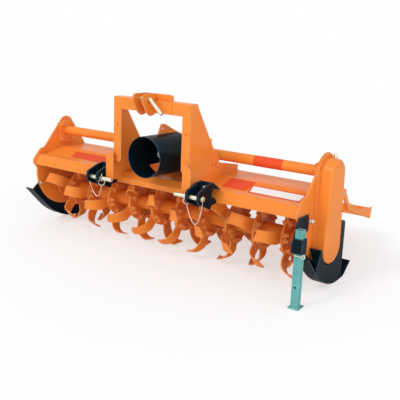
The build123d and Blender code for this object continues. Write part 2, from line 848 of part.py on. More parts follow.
# Curved end arm over the board
arm_outline = [
    (hinge_behind, hinge_up + arm_eye_radius),
    (hinge_behind + 28, hinge_up + 16),
    (hinge_behind + 67, hinge_up - 18),
    (hinge_behind + 106, hinge_up - 75),
    (hinge_behind + 254, hinge_up - 136),
    (hinge_behind + 392, hinge_up - 162),
    (hinge_behind + 447, hinge_up - 160),
    (hinge_behind + 434, hinge_up - 228),
    (hinge_behind + 263, hinge_up - 173),
    (hinge_behind + 101, hinge_up - 113),
    (hinge_behind + 40, hinge_up - 41),
    (hinge_behind, hinge_up - arm_eye_radius),
]

with BuildPart() as hinge_rod:
    with BuildSketch(side_plane(left_outer)):
        with Locations((hinge_behind, hinge_up)):
            Circle(hinge_rod_radius)
    extrude(amount=working_width + 2 * plate_thickness)
write(hinge_rod, "hinge_rod")

with BuildPart() as tailboard:
    with BuildSketch(side_plane(left_inner + board_end_gap + arm_thickness)):
        with BuildLine():
            FilletPolyline(*board_path, radius=board_fold_radius)
            offset(amount=board_thickness, side=Side.RIGHT)
        make_face()
    extrude(amount=working_width - 2 * (board_end_gap + arm_thickness))
    for share in knuckle_places:
        with BuildSketch(side_plane(left_inner + share * working_width - knuckle_length / 2)):
            with Locations((hinge_behind, hinge_up)):
                Circle(knuckle_radius)
        extrude(amount=knuckle_length)
    with BuildSketch(side_plane(left_inner)):
        with Locations((hinge_behind, hinge_up)):
            Circle(hinge_rod_radius + running_gap)
    extrude(amount=working_width, mode=Mode.SUBTRACT)
write(tailboard, "tailboard")

for x_start, name in (
    (left_inner + board_end_gap, "left"),
    (right_inner - board_end_gap - arm_thickness, "right"),
):
    with BuildPart() as arm:
        with BuildSketch(side_plane(x_start)):
            with BuildLine():
                Polyline(*arm_outline, close=True)
            make_face()
            with Locations((hinge_behind, hinge_up)):
                Circle(arm_eye_radius)
                Circle(hinge_rod_radius + running_gap, mode=Mode.SUBTRACT)
        extrude(amount=arm_thickness)
    write(arm, f"tailboard_arm_{name}")

# ---- rotor bearings --------------------------------------------------------------------------------------------------
journal_radius = 30.0
bearing_flange_radius = 70.0
bearing_flange = 14.0
bearing_cap = 4.0            # closed outer end of each bearing
journal_end = 5.0            # journal's end inside the side plate's outer face

for side, x_inner, name in ((-1, left_inner, "left"), (1, right_inner, "right")):
    with BuildPart() as bearing:
        with BuildSketch(side_plane(x_inner)):
            Circle(bearing_flange_radius)
        extrude(amount=-side * bearing_flange)
        with BuildSketch(side_plane(x_inner)):
            Circle(rotor_seat_radius)
        extrude(amount=side * plate_thickness)
        with BuildSketch(side_plane(x_inner - side * bearing_flange)):
            Circle(journal_radius + running_gap)
        extrude(amount=side * (bearing_flange + plate_thickness - bearing_cap), mode=Mode.SUBTRACT)
    write(bearing, f"rotor_bearing_{name}")

# ---- rotor: tube, ten flanges, and six bent blades on each -------------------------------------------------------------
rotor_tube_radius = 42.0
rotor_tube_wall = 8.0
hub_length = 22.0            # from the side plate to the end of the thick tube
journal_plug = 40.0          # solid length at each end of the tube
flange_count = 10
first_flange = 145.0         # from either side plate
disc_radius = 112.0
disc_thickness = 12.0
blade_count = 6
blade_thickness = 8.0
blade_root = 62.0            # inner end of the blades, from the rotor axis
blade_reach = 96.0           # sideways, from the flange's face
blade_bend = 78.0
blade_curl = 14.0            # the blade's end turns in by this much
blade_slant = 22.0           # its leading corner reaches this much further
gang_turn = 15.0             # degrees from one flange to the next
first_turn = 161.0           # first flange's first left-hand blade, up from the rear
flange_pitch = (working_width - 2 * first_flange) / (flange_count - 1)
blade_root_half = 26.0
blade_toe = 44.0             # tip corner on one side of the blade's middle
blade_heel = 14.0            # and on the other
blade_belly = 30.0           # widest place on the heel's side
blade_belly_from_axis = 0.7 * rotor_radius
tip_side = 60.0              # well clear of the blade's sides

# A blade seen along the rotor: (from the axis, across from the blade's middle)
blade_face = [
    (blade_root, -blade_root_half),
    (rotor_radius, -blade_toe),
    (rotor_radius, blade_heel),
    (blade_belly_from_axis, blade_belly),
    (blade_root, blade_root_half),
]


def blade(hand):
    """A bent strap blade standing out along +X, its tip turned along Z to this hand."""
    face = hand * disc_thickness / 2
    tip = face + hand * blade_reach
    with BuildPart() as strap:
        with BuildSketch(Plane.XZ):
            with BuildLine():
                FilletPolyline(
                    (blade_root, face),
                    (rotor_radius, face),
                    (rotor_radius - blade_curl, tip),
                    radius=blade_bend,
                )
                offset(amount=blade_thickness, side=Side.LEFT if hand > 0 else Side.RIGHT)
            make_face()
        extrude(amount=rotor_radius, both=True)
        with BuildSketch(Plane.XY):
            with BuildLine():
                Polyline(*blade_face, close=True)
            make_face()
        extrude(amount=2 * blade_reach, both=True, mode=Mode.INTERSECT)
        with BuildSketch(Plane.YZ):
            with BuildLine():
                Polyline(
                    (-tip_side, 0),
                    (tip_side, 0),
                    (tip_side, tip + hand * blade_slant),
                    (blade_heel, tip),
                    (-blade_toe, tip - hand * blade_slant),
                    (-tip_side, tip - hand * blade_slant),
                    close=True,
                )
            make_face()
        extrude(amount=rotor_radius, mode=Mode.INTERSECT)
    return strap.part


blades = {-1: blade(-1), 1: blade(1)}

with BuildPart() as rotor:
    with BuildSketch(side_plane(left_inner + hub_length)):
        Circle(rotor_tube_radius)
    extrude(amount=working_width - 2 * hub_length)
    with BuildSketch(side_plane(left_outer + journal_end)):
        Circle(journal_radius)
    extrude(amount=working_width + 2 * (plate_thickness - journal_end))
    with BuildSketch(side_plane(left_inner + hub_length + journal_plug)):
        Circle(rotor_tube_radius - rotor_tube_wall)
    extrude(amount=working_width - 2 * (hub_length + journal_plug), mode=Mode.SUBTRACT)
    for number in range(flange_count):
        x_flange = left_inner + first_flange + number * flange_pitch
        with BuildSketch(side_plane(x_flange - disc_thickness / 2)):
            Circle(disc_radius)
            Circle(rotor_tube_radius, mode=Mode.SUBTRACT)
        extrude(amount=disc_thickness)
        for place in range(blade_count):
            hand = 1 if place % 2 else -1
            turn = first_turn + number * gang_turn + place * 360 / blade_count
            with Locations(side_plane(x_flange)):
                with PolarLocations(0, 1, start_angle=turn):
                    add(blades[hand])
write(rotor, "rotor")
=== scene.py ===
# %% [markdown]
# # A mounted rotary tiller, parked on its skids and stand
# The machine is painted steel plate and tube, black bought-in parts and plated pins.
# The construction model gives every plate its place. This notebook gives the surfaces
# their paint, and adds what is bolted, welded, stuck or hung on them.

# %% Open the frame
import json
import math

import bmesh
import bpy
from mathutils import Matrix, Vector


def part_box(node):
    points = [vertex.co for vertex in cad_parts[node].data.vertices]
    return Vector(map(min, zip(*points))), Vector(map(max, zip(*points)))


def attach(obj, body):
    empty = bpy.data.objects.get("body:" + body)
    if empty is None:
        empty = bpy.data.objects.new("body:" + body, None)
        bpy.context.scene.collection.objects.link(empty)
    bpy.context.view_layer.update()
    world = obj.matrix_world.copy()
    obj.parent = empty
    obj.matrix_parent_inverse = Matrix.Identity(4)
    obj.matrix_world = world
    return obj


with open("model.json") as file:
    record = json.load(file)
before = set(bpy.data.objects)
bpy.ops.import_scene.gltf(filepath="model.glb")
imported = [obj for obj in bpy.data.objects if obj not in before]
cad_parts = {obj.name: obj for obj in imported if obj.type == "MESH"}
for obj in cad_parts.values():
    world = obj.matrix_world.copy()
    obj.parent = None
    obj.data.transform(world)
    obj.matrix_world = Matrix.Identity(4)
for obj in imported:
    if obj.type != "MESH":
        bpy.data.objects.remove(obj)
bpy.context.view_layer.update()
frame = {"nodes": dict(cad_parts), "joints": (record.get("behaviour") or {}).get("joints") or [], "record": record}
nodes = frame["nodes"]
joints = {joint["name"]: joint for joint in frame["joints"]}
print("nodes:", len(nodes))

# %% [markdown]
# ## Directions on the parked machine
# The machine stands nose-up, so its own level lines aren't level. Its joints know its
# directions: the stand's leg slides straight up it, and the input shaft runs straight
# back. Places below are (x, behind, up) in mm, from the rotor's axis.
# The other way would be to turn every piece by hand, and one slip would lift it off.

# %% Directions and a point helper
MM = 0.001
RIGHT = Vector((1.0, 0.0, 0.0))
UP = Vector(joints["stand_slide"]["axis"]).normalized()
BACK = Vector(joints["input_spin"]["axis"]).normalized()
ROTOR = Vector(joints["rotor_spin"]["pos_m"])
FLOOR_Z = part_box("stand_leg")[0].z


def at(x, behind, up):
    """The point that lies x mm right of the input shaft, behind and above the rotor."""
    return Vector((x * MM, ROTOR.y, ROTOR.z)) + BACK * (behind * MM) + UP * (up * MM)


def span(name):
    """Low and high corner of a node along the machine's own directions, in mm."""
    node = nodes[name]
    corners = [node.matrix_world @ vertex.co for vertex in node.data.vertices]
    rows = [(p.x / MM, (p - ROTOR).dot(BACK) / MM, (p - ROTOR).dot(UP) / MM) for p in corners]
    low = Vector([min(row[axis] for row in rows) for axis in range(3)])
    high = Vector([max(row[axis] for row in rows) for axis in range(3)])
    return low, high


LEFT_OUTER, LEFT_INNER = (corner.x for corner in span("side_plate_left"))
RIGHT_INNER, RIGHT_OUTER = (corner.x for corner in span("side_plate_right"))
print("side plates at", [round(x) for x in (LEFT_OUTER, LEFT_INNER, RIGHT_INNER, RIGHT_OUTER)])

# %% [markdown]
# ## Paint and metal
# Real paint isn't one flat colour. Its tone drifts over a hand's width, and its gloss is broken by orange peel.
# Its edges carry a painted highlight with a little wear, and its corners carry painted shade.
# A picture of paint would have been the other way, but it would show its seams.
# One function builds each finish from the same layers, so all the pieces look as if
# they left one workshop.

# %% Small helpers for node trees
def link(tree, output, target):
    """Join an output to an input."""
    tree.links.new(output, target)


def ranged(tree, value, low, high, to_low, to_high):
    """A value mapped from one range to another, and held inside it."""
    node = tree.nodes.new("ShaderNodeMapRange")
    node.inputs["From Min"].default_value = low
    node.inputs["From Max"].default_value = high
    node.inputs["To Min"].default_value = to_low
    node.inputs["To Max"].default_value = to_high
    link(tree, value, node.inputs["Value"])
    return node.outputs["Result"]


def mixed(tree, factor, first, second):
    """Two colours mixed; either may be a socket or a plain colour."""
    node = tree.nodes.new("ShaderNodeMix")
    node.data_type = "RGBA"
    link(tree, factor, node.inputs["Factor"])
    for name, colour in (("A", first), ("B", second)):
        if isinstance(colour, tuple):
            node.inputs[name].default_value = (*colour, 1.0)
        else:
            link(tree, colour, node.inputs[name])
    return node.outputs["Result"]


def noise(tree, place, scale, detail):
    """Fractal noise at a scale given in waves per metre."""
    node = tree.nodes.new("ShaderNodeTexNoise")
    node.inputs["Scale"].default_value = scale
    node.inputs["Detail"].default_value = detail
    link(tree, place, node.inputs["Vector"])
    return node.outputs["Fac"]


def tinted(colour, factor):
    """A colour made darker or lighter, never over full."""
    return tuple(min(1.0, channel * factor) for channel in colour)


# %% Colour: drift, painted shade in corners, and a painted highlight with wear on edges
TONE_WAVES = 4.0              # per metre, so the tone drifts over a hand's width
PAINTED_SHADE_REACH = 0.03             # metres, how far the painted shade reaches out of a corner
EDGE_ROUND_RADIUS = 0.0045          # metres, the rounding of every edge, which also sets where the painted highlight and wear go


def drifting(tree, place, base, drift):
    """A base colour that wanders a little darker and lighter."""
    tone = ranged(tree, noise(tree, place, TONE_WAVES, 5.0), 0.3, 0.7, 0.0, 1.0)
    return mixed(tree, tone, tinted(base, 1.0 - drift), tinted(base, 1.0 + drift))


def with_painted_corner_shade(tree, colour, base, corner_shade):
    """The colour with painted shade: darker in the corners, by ambient occlusion."""
    painted_shade_ao = tree.nodes.new("ShaderNodeAmbientOcclusion")
    painted_shade_ao.samples = 8
    painted_shade_ao.inputs["Distance"].default_value = PAINTED_SHADE_REACH
    corner_shade_mask = ranged(tree, painted_shade_ao.outputs["AO"], 0.25, 0.95, corner_shade, 0.0)
    return mixed(tree, corner_shade_mask, colour, tinted(base, 0.4))


def rounded_normal(tree):
    """The surface's normal, as if every sharp edge were rounded."""
    rounded = tree.nodes.new("ShaderNodeBevel")
    rounded.samples = 6
    rounded.inputs["Radius"].default_value = EDGE_ROUND_RADIUS
    return rounded.outputs["Normal"]


def with_edge_highlight_and_wear(tree, colour, edge_highlight, rounded):
    """The colour with a painted highlight and a little wear on edges: the edge colour where the rounding turns off
    the flat.
    """
    surface = tree.nodes.new("ShaderNodeNewGeometry")
    same = tree.nodes.new("ShaderNodeVectorMath")
    same.operation = "DOT_PRODUCT"
    link(tree, rounded, same.inputs[0])
    link(tree, surface.outputs["Normal"], same.inputs[1])
    edge_highlight_mask = ranged(tree, same.outputs["Value"], 0.97, 0.8, 0.0, 0.85)
    return mixed(tree, edge_highlight_mask, colour, edge_highlight)


# %% Relief: orange peel, and a bearing seat pressed out of the case
PEEL_DEPTH = 0.0004           # metres
SEAT_DEPTH = 0.003
SEAT_SLOPE = 0.006


def raised(tree, height, strength, depth, normal):
    """A normal tilted by a height, on top of another normal."""
    bump = tree.nodes.new("ShaderNodeBump")
    bump.inputs["Strength"].default_value = strength
    bump.inputs["Distance"].default_value = depth
    link(tree, height, bump.inputs["Height"])
    link(tree, normal, bump.inputs["Normal"])
    return bump.outputs["Normal"]


def embossed(tree, place, disc, normal):
    """A normal raised over a round (y, z, radius), for a seat pressed out from behind."""
    centre = tree.nodes.new("ShaderNodeVectorMath")
    centre.operation = "SUBTRACT"
    link(tree, place, centre.inputs[0])
    centre.inputs[1].default_value = (0.0, disc[0], disc[1])
    flat = tree.nodes.new("ShaderNodeVectorMath")
    flat.operation = "MULTIPLY"
    link(tree, centre.outputs["Vector"], flat.inputs[0])
    flat.inputs[1].default_value = (0.0, 1.0, 1.0)
    reach = tree.nodes.new("ShaderNodeVectorMath")
    reach.operation = "LENGTH"
    link(tree, flat.outputs["Vector"], reach.inputs[0])
    height = ranged(tree, reach.outputs["Value"], disc[2], disc[2] + SEAT_SLOPE, 1.0, 0.0)
    return raised(tree, height, 1.0, SEAT_DEPTH, normal)


# %% The finish of one material
def finish(name, base, edge_highlight, drift=0.06, metallic=0.0, roughness=0.35, coat=0.0, grain=260.0,
           peel=0.12, corner_shade=0.1, gloss=0.05, disc=None):
    """A procedural finish; grain is in waves per metre, and disc is an embossed round."""
    material = bpy.data.materials.new(name)
    material.use_nodes = True
    tree = material.node_tree
    tree.nodes.clear()
    output = tree.nodes.new("ShaderNodeOutputMaterial")
    shader = tree.nodes.new("ShaderNodeBsdfPrincipled")
    place = tree.nodes.new("ShaderNodeTexCoord").outputs["Object"]
    link(tree, shader.outputs["BSDF"], output.inputs["Surface"])

    rounded = rounded_normal(tree)
    colour = drifting(tree, place, base, drift)
    # painted shade darkens the corners
    colour = with_painted_corner_shade(tree, colour, base, corner_shade)
    # a painted highlight, with a little wear, lightens the edges
    colour = with_edge_highlight_and_wear(tree, colour, edge_highlight, rounded)
    link(tree, colour, shader.inputs["Base Color"])

    fine = noise(tree, place, grain, 3.0)
    rough = ranged(tree, fine, 0.3, 0.7, 0.8 * roughness, 1.25 * roughness)
    link(tree, rough, shader.inputs["Roughness"])
    normal = raised(tree, fine, peel, PEEL_DEPTH, rounded)
    if disc:
        normal = embossed(tree, place, disc, normal)
    link(tree, normal, shader.inputs["Normal"])

    shader.inputs["Metallic"].default_value = metallic
    shader.inputs["Specular IOR Level"].default_value = gloss
    shader.inputs["Coat Weight"].default_value = coat
    shader.inputs["Coat Roughness"].default_value = 0.1
    return material


# %% [markdown]
# ## The finishes of this machine
# The orange is a full gloss, so it has a thin clear coat over a quiet base; the black is the same, with a painted
# bluish highlight on its edges. Plated parts are metal, a little yellow, and the stand's leg has the mottled
# blue-green of fresh galvanising.

# %% Paints
ORANGE_BASE = (0.87, 0.25, 0.036)
# the colour of the painted highlight, with a little wear, on the edges
ORANGE_EDGE_HIGHLIGHT = (0.95, 0.55, 0.32)
BLACK_BASE = (0.001, 0.01, 0.016)
SEAT = (10.0, -10.0)          # behind and up, the middle of the seat on the chain case
SEAT_RADIUS = 0.048
seat_centre = at(0.0, *SEAT)
seat_disc = (seat_centre.y, seat_centre.z, SEAT_RADIUS)
ORANGE = finish("orange_paint_coat", ORANGE_BASE, ORANGE_EDGE_HIGHLIGHT, coat=0.22, roughness=0.4)
CASE = finish("case_paint", ORANGE_BASE, ORANGE_EDGE_HIGHLIGHT, coat=0.22, roughness=0.4, disc=seat_disc)
# its second colour is a painted bluish highlight on the edges
BLACK = finish("black_paint_coat", BLACK_BASE, (0.12, 0.22, 0.3), drift=0.3, roughness=0.35,
               coat=0.14, gloss=0.03, corner_shade=0.0)

# %% Metals
# the second colour of each metal is a painted highlight on its edges
ZINC = finish("zinc_plating", (0.8, 0.76, 0.6), (0.95, 0.93, 0.85), drift=0.1, metallic=0.85,
              roughness=0.3, grain=420.0, peel=0.06, gloss=0.5)
GALVANISED = finish("galvanising", (0.11, 0.37, 0.36), (0.6, 0.78, 0.78), drift=0.26, metallic=0.15,
                    roughness=0.38, grain=70.0, peel=0.2, gloss=0.3)
STEEL = finish("bright_metal", (0.42, 0.42, 0.41), (0.6, 0.6, 0.6), drift=0.12, metallic=1.0,
               roughness=0.32, grain=500.0, peel=0.1)

# %% Films, and the painted shade of holes
RED_TONE = (0.8, 0.09, 0.03)
WHITE_TONE = (0.88, 0.88, 0.87)
# painted shade: the dark seen inside a small hole
PAINTED_HOLE_SHADE_TONE = (0.012, 0.01, 0.008)
RED = finish("red_film", RED_TONE, RED_TONE, drift=0.04, roughness=0.3, corner_shade=0.0)
WHITE = finish("white_film", WHITE_TONE, WHITE_TONE, drift=0.03, roughness=0.3, corner_shade=0.0)
PAINTED_HOLE_SHADE = finish("painted_hole_shade", PAINTED_HOLE_SHADE_TONE, PAINTED_HOLE_SHADE_TONE, roughness=0.8, corner_shade=0.0)
print("finishes:", [material.name for material in bpy.data.materials])

# %% Give the plates and tubes their finish
FINISHES = {
    "orange_paint": ORANGE,
    "black_paint": BLACK,
    "zinc_plate": ZINC,
    "galvanised": GALVANISED,
    "bright_steel": STEEL,
}
slots = {row["node"]: row["material_slot"] for row in frame["record"]["subparts"]}
for name, node in nodes.items():
    node.data.materials.clear()
    node.data.materials.append(CASE if name == "chain_case" else FINISHES[slots[name]])
print("finished", len(nodes), "nodes")

# %% [markdown]
# ## Ways of making the fittings
# Three kinds of thing are added: bolts, which repeat; beads, rings and wires, which
# follow a path; and thin plates and films, which lie on a surface.
# The first two are Geometry Nodes trees, because one tree then serves every row and
# every path. The results are plain meshes, one for each body that carries them.

# %% A plain mesh that rides on a body
def plain_piece(name, mesh, material, body):
    """A mesh as a finished piece: one material, one body."""
    mesh.name = name
    mesh.materials.clear()
    mesh.materials.append(material)
    piece = bpy.data.objects.new(name, mesh)
    bpy.context.scene.collection.objects.link(piece)
    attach(piece, body)
    print(name, "on", body, "faces", len(mesh.polygons))
    return piece


def plain_mesh(made, name):
    """The mesh that bmesh built, with its faces turned outwards."""
    bmesh.ops.recalc_face_normals(made, faces=made.faces)
    mesh = bpy.data.meshes.new(name)
    made.to_mesh(mesh)
    made.free()
    return mesh


# %% A modifier's result as such a piece
def baked(worker, name, material, body):
    """The worker's evaluated mesh as a plain piece that rides on a body."""
    depsgraph = bpy.context.evaluated_depsgraph_get()
    mesh = bpy.data.meshes.new_from_object(worker.evaluated_get(depsgraph))
    bpy.data.objects.remove(worker)
    return plain_piece(name, mesh, material, body)


# %% Small helpers for Geometry Nodes trees
def geometry_tree(name):
    """A tree with a geometry input and output, ready for more inputs."""
    tree = bpy.data.node_groups.new(name, "GeometryNodeTree")
    for direction in ("INPUT", "OUTPUT"):
        tree.interface.new_socket("Geometry", in_out=direction, socket_type="NodeSocketGeometry")
    return tree


def tree_input(tree, name, kind):
    """A named input of a tree, and the identifier that a modifier sets it by."""
    return tree.interface.new_socket(name, in_out="INPUT", socket_type=kind).identifier


# %% [markdown]
# ### Bolts
# A bolt head is a hexagon with chamfered corners on a washer; a nut shows the end of
# its thread too. Both are drawn once with flats 1 m apart. The tree sets one at each
# point of a mesh, along the point's own aim and at its own size, turned at random as
# a spanner leaves them.

# %% The two fastener meshes
def stacked(rings_of_shells, name):
    """Closed shells, each from rings of (radius, height), with this many sides."""
    made = bmesh.new()
    for sides, rings in rings_of_shells:
        loops = []
        for radius, height in rings:
            turns = [2.0 * math.pi * step / sides for step in range(sides)]
            circle = [(radius * math.cos(turn), radius * math.sin(turn), height) for turn in turns]
            loops.append([made.verts.new(point) for point in circle])
        for lower, upper in zip(loops, loops[1:]):
            for step in range(sides):
                after = (step + 1) % sides
                made.faces.new((lower[step], lower[after], upper[after], upper[step]))
        made.faces.new(list(reversed(loops[0])))
        made.faces.new(loops[-1])
    mesh = bpy.data.meshes.new(name)
    made.to_mesh(mesh)
    made.free()
    return mesh


WASHER = (14, [(0.64, 0.0), (0.64, 0.09), (0.6, 0.12)])
HEXAGON = (6, [(0.577, 0.11), (0.577, 0.52), (0.5, 0.62)])
THREAD = (10, [(0.3, 0.6), (0.3, 0.9), (0.25, 0.96)])
HEAD = bpy.data.objects.new("head_pattern", stacked([WASHER, HEXAGON], "head_pattern"))
NUT = bpy.data.objects.new("nut_pattern", stacked([WASHER, HEXAGON, THREAD], "nut_pattern"))
print("head faces", len(HEAD.data.polygons), "nut faces", len(NUT.data.polygons))

# %% The tree that sets fasteners: its inputs and nodes
SIXTH_TURN = math.pi / 3.0    # a hexagon looks the same after this turn
SPANNER_SEED = 7
bolt_tree = geometry_tree("set_fasteners")
BOLT_PATTERN = tree_input(bolt_tree, "Pattern", "NodeSocketObject")
BOLT_MATERIAL = tree_input(bolt_tree, "Material", "NodeSocketMaterial")
bolt_in = bolt_tree.nodes.new("NodeGroupInput")
bolt_out = bolt_tree.nodes.new("NodeGroupOutput")
pattern = bolt_tree.nodes.new("GeometryNodeObjectInfo")
aim = bolt_tree.nodes.new("GeometryNodeInputNamedAttribute")
aim.data_type = "FLOAT_VECTOR"
aim.inputs["Name"].default_value = "aim"
size = bolt_tree.nodes.new("GeometryNodeInputNamedAttribute")
size.data_type = "FLOAT"
size.inputs["Name"].default_value = "size"
aligned = bolt_tree.nodes.new("FunctionNodeAlignRotationToVector")
aligned.axis = "Z"
chance = bolt_tree.nodes.new("FunctionNodeRandomValue")
chance.data_type = "FLOAT"
chance.inputs[3].default_value = SIXTH_TURN
chance.inputs["Seed"].default_value = SPANNER_SEED
spanner_turn = bolt_tree.nodes.new("FunctionNodeAxisAngleToRotation")
turned = bolt_tree.nodes.new("FunctionNodeRotateRotation")
turned.rotation_space = "LOCAL"
setter = bolt_tree.nodes.new("GeometryNodeInstanceOnPoints")
real = bolt_tree.nodes.new("GeometryNodeRealizeInstances")
painted = bolt_tree.nodes.new("GeometryNodeSetMaterial")
print("fastener nodes:", len(bolt_tree.nodes))

# %% The tree that sets fasteners: how they are joined
link(bolt_tree, bolt_in.outputs["Geometry"], setter.inputs["Points"])
link(bolt_tree, bolt_in.outputs["Pattern"], pattern.inputs["Object"])
link(bolt_tree, pattern.outputs["Geometry"], setter.inputs["Instance"])
link(bolt_tree, aim.outputs["Attribute"], aligned.inputs["Vector"])
link(bolt_tree, chance.outputs[1], spanner_turn.inputs["Angle"])
link(bolt_tree, aligned.outputs["Rotation"], turned.inputs["Rotation"])
link(bolt_tree, spanner_turn.outputs["Rotation"], turned.inputs["Rotate By"])
link(bolt_tree, turned.outputs["Rotation"], setter.inputs["Rotation"])
link(bolt_tree, size.outputs["Attribute"], setter.inputs["Scale"])
link(bolt_tree, setter.outputs["Instances"], real.inputs["Geometry"])
link(bolt_tree, real.outputs["Geometry"], painted.inputs["Geometry"])
link(bolt_tree, bolt_in.outputs["Material"], painted.inputs["Material"])
link(bolt_tree, painted.outputs["Geometry"], bolt_out.inputs["Geometry"])
print("fastener links:", len(bolt_tree.links))


# %% Fasteners from rows of places
def fasteners(name, rows, pattern_object, material, body):
    """Fasteners at rows of (point in metres, aim, flats in mm)."""
    mesh = bpy.data.meshes.new(name + "_points")
    mesh.from_pydata([point for point, direction, flats in rows], [], [])
    mesh.attributes.new("aim", "FLOAT_VECTOR", "POINT")
    mesh.attributes.new("size", "FLOAT", "POINT")
    for index, (point, direction, flats) in enumerate(rows):
        mesh.attributes["aim"].data[index].vector = direction
        mesh.attributes["size"].data[index].value = flats * MM
    worker = bpy.data.objects.new(name + "_worker", mesh)
    bpy.context.scene.collection.objects.link(worker)
    modifier = worker.modifiers.new("fasteners", "NODES")
    modifier.node_group = bolt_tree
    modifier[BOLT_PATTERN] = pattern_object
    modifier[BOLT_MATERIAL] = material
    return baked(worker, name, material, body)


# %% [markdown]
# ### Beads, rings and wires
# A weld bead is a thread of metal laid in steps, so its thickness ripples along the
# seam. A plain wire comes from the same tree with no ripple, and a twisted one with a
# little. The path is a chain of edges, which the tree turns into a curve, walks in even
# steps and sweeps with a round.

# %% The tree that sweeps paths: its inputs and nodes
RIPPLES_PER_METRE = 160.0
PROFILE_SIDES = 8
sweep_tree = geometry_tree("sweep_paths")
SWEEP_RADIUS = tree_input(sweep_tree, "Radius", "NodeSocketFloat")
SWEEP_RIPPLE = tree_input(sweep_tree, "Ripple", "NodeSocketFloat")
SWEEP_STEP = tree_input(sweep_tree, "Step", "NodeSocketFloat")
SWEEP_MATERIAL = tree_input(sweep_tree, "Material", "NodeSocketMaterial")
sweep_in = sweep_tree.nodes.new("NodeGroupInput")
sweep_out = sweep_tree.nodes.new("NodeGroupOutput")
as_curve = sweep_tree.nodes.new("GeometryNodeMeshToCurve")
even = sweep_tree.nodes.new("GeometryNodeResampleCurve")
even.mode = "LENGTH"
along = sweep_tree.nodes.new("GeometryNodeSplineParameter")
phase = sweep_tree.nodes.new("ShaderNodeMath")
phase.operation = "MULTIPLY"
phase.inputs[1].default_value = 2.0 * math.pi * RIPPLES_PER_METRE
wave = sweep_tree.nodes.new("ShaderNodeMath")
wave.operation = "SINE"
depth = sweep_tree.nodes.new("ShaderNodeMath")
depth.operation = "MULTIPLY"
around_one = sweep_tree.nodes.new("ShaderNodeMath")
around_one.operation = "ADD"
around_one.inputs[1].default_value = 1.0
thickness = sweep_tree.nodes.new("ShaderNodeMath")
thickness.operation = "MULTIPLY"
round_profile = sweep_tree.nodes.new("GeometryNodeCurvePrimitiveCircle")
round_profile.inputs["Resolution"].default_value = PROFILE_SIDES
round_profile.inputs["Radius"].default_value = 1.0
skin = sweep_tree.nodes.new("GeometryNodeCurveToMesh")
skin.inputs["Fill Caps"].default_value = True
smooth = sweep_tree.nodes.new("GeometryNodeSetShadeSmooth")
sweep_real = sweep_tree.nodes.new("GeometryNodeRealizeInstances")
sweep_paint = sweep_tree.nodes.new("GeometryNodeSetMaterial")
print("sweep nodes:", len(sweep_tree.nodes))

# %% The tree that sweeps paths: how they are joined
link(sweep_tree, sweep_in.outputs["Geometry"], as_curve.inputs["Mesh"])
link(sweep_tree, as_curve.outputs["Curve"], even.inputs["Curve"])
link(sweep_tree, sweep_in.outputs["Step"], even.inputs["Length"])
link(sweep_tree, along.outputs["Length"], phase.inputs[0])
link(sweep_tree, phase.outputs["Value"], wave.inputs[0])
link(sweep_tree, wave.outputs["Value"], depth.inputs[0])
link(sweep_tree, sweep_in.outputs["Ripple"], depth.inputs[1])
link(sweep_tree, depth.outputs["Value"], around_one.inputs[0])
link(sweep_tree, around_one.outputs["Value"], thickness.inputs[0])
link(sweep_tree, sweep_in.outputs["Radius"], thickness.inputs[1])
link(sweep_tree, even.outputs["Curve"], skin.inputs["Curve"])
link(sweep_tree, round_profile.outputs["Curve"], skin.inputs["Profile Curve"])
link(sweep_tree, thickness.outputs["Value"], skin.inputs["Scale"])
link(sweep_tree, skin.outputs["Mesh"], smooth.inputs["Geometry"])
link(sweep_tree, smooth.outputs["Geometry"], sweep_real.inputs["Geometry"])
link(sweep_tree, sweep_real.outputs["Geometry"], sweep_paint.inputs["Geometry"])
link(sweep_tree, sweep_in.outputs["Material"], sweep_paint.inputs["Material"])
link(sweep_tree, sweep_paint.outputs["Geometry"], sweep_out.inputs["Geometry"])
print("sweep links:", len(sweep_tree.links))


# %% Beads, rings and wires from paths
def swept(name, paths, radius, ripple, material, body, step=2.0):
    """A round swept along paths of (closed, points in metres); radius and step in mm."""
    points = []
    edges = []
    for closed, path in paths:
        first = len(points)
        points.extend(path)
        last = len(points) - 1
        edges.extend((index, index + 1) for index in range(first, last))
        if closed:
            edges.append((last, first))
    mesh = bpy.data.meshes.new(name + "_paths")
    mesh.from_pydata(points, edges, [])
    worker = bpy.data.objects.new(name + "_worker", mesh)
    bpy.context.scene.collection.objects.link(worker)
    modifier = worker.modifiers.new("sweep", "NODES")
    modifier.node_group = sweep_tree
    modifier[SWEEP_RADIUS] = radius * MM
    modifier[SWEEP_RIPPLE] = ripple
    modifier[SWEEP_STEP] = step * MM
    modifier[SWEEP_MATERIAL] = material
    return baked(worker, name, material, body)


# %% [markdown]
# ### Thin plates and films
# A film is a slim slab with its outline on a surface. It is built corner by corner, so
# it lies on a slope or round a tube as it would be stuck there.

# %% A slab from a grid of points and its thickness
def slab(name, rows, lift, material, body):
    """A closed thin slab over rows of (point, outward normal), lift mm thick."""
    made = bmesh.new()
    under = [[made.verts.new(point) for point, normal in row] for row in rows]
    over = [[made.verts.new(point + normal * (lift * MM)) for point, normal in row] for row in rows]
    last_row = len(rows) - 1
    last = len(rows[0]) - 1
    for i in range(last_row):
        for j in range(last):
            made.faces.new((over[i][j], over[i][j + 1], over[i + 1][j + 1], over[i + 1][j]))
            made.faces.new((under[i][j], under[i + 1][j], under[i + 1][j + 1], under[i][j + 1]))
    for i in range(last_row):
        for j in (0, last):
            made.faces.new((under[i][j], under[i + 1][j], over[i + 1][j], over[i][j]))
    for j in range(last):
        for i in (0, last_row):
            made.faces.new((under[i][j], over[i][j], over[i][j + 1], under[i][j + 1]))
    return plain_piece(name, plain_mesh(made, name), material, body)


# %% [markdown]
# ## Rotor bolts
# Two bolts hold each blade on its flange: heads on the blade, nuts behind the flange.
# The flanges stand at even steps between the side plates, and each is turned a little
# from the one before, so that one blade at a time meets the soil. The bolts' places are
# worked out from that rule, because 240 heads and nuts set by hand would drift off it.

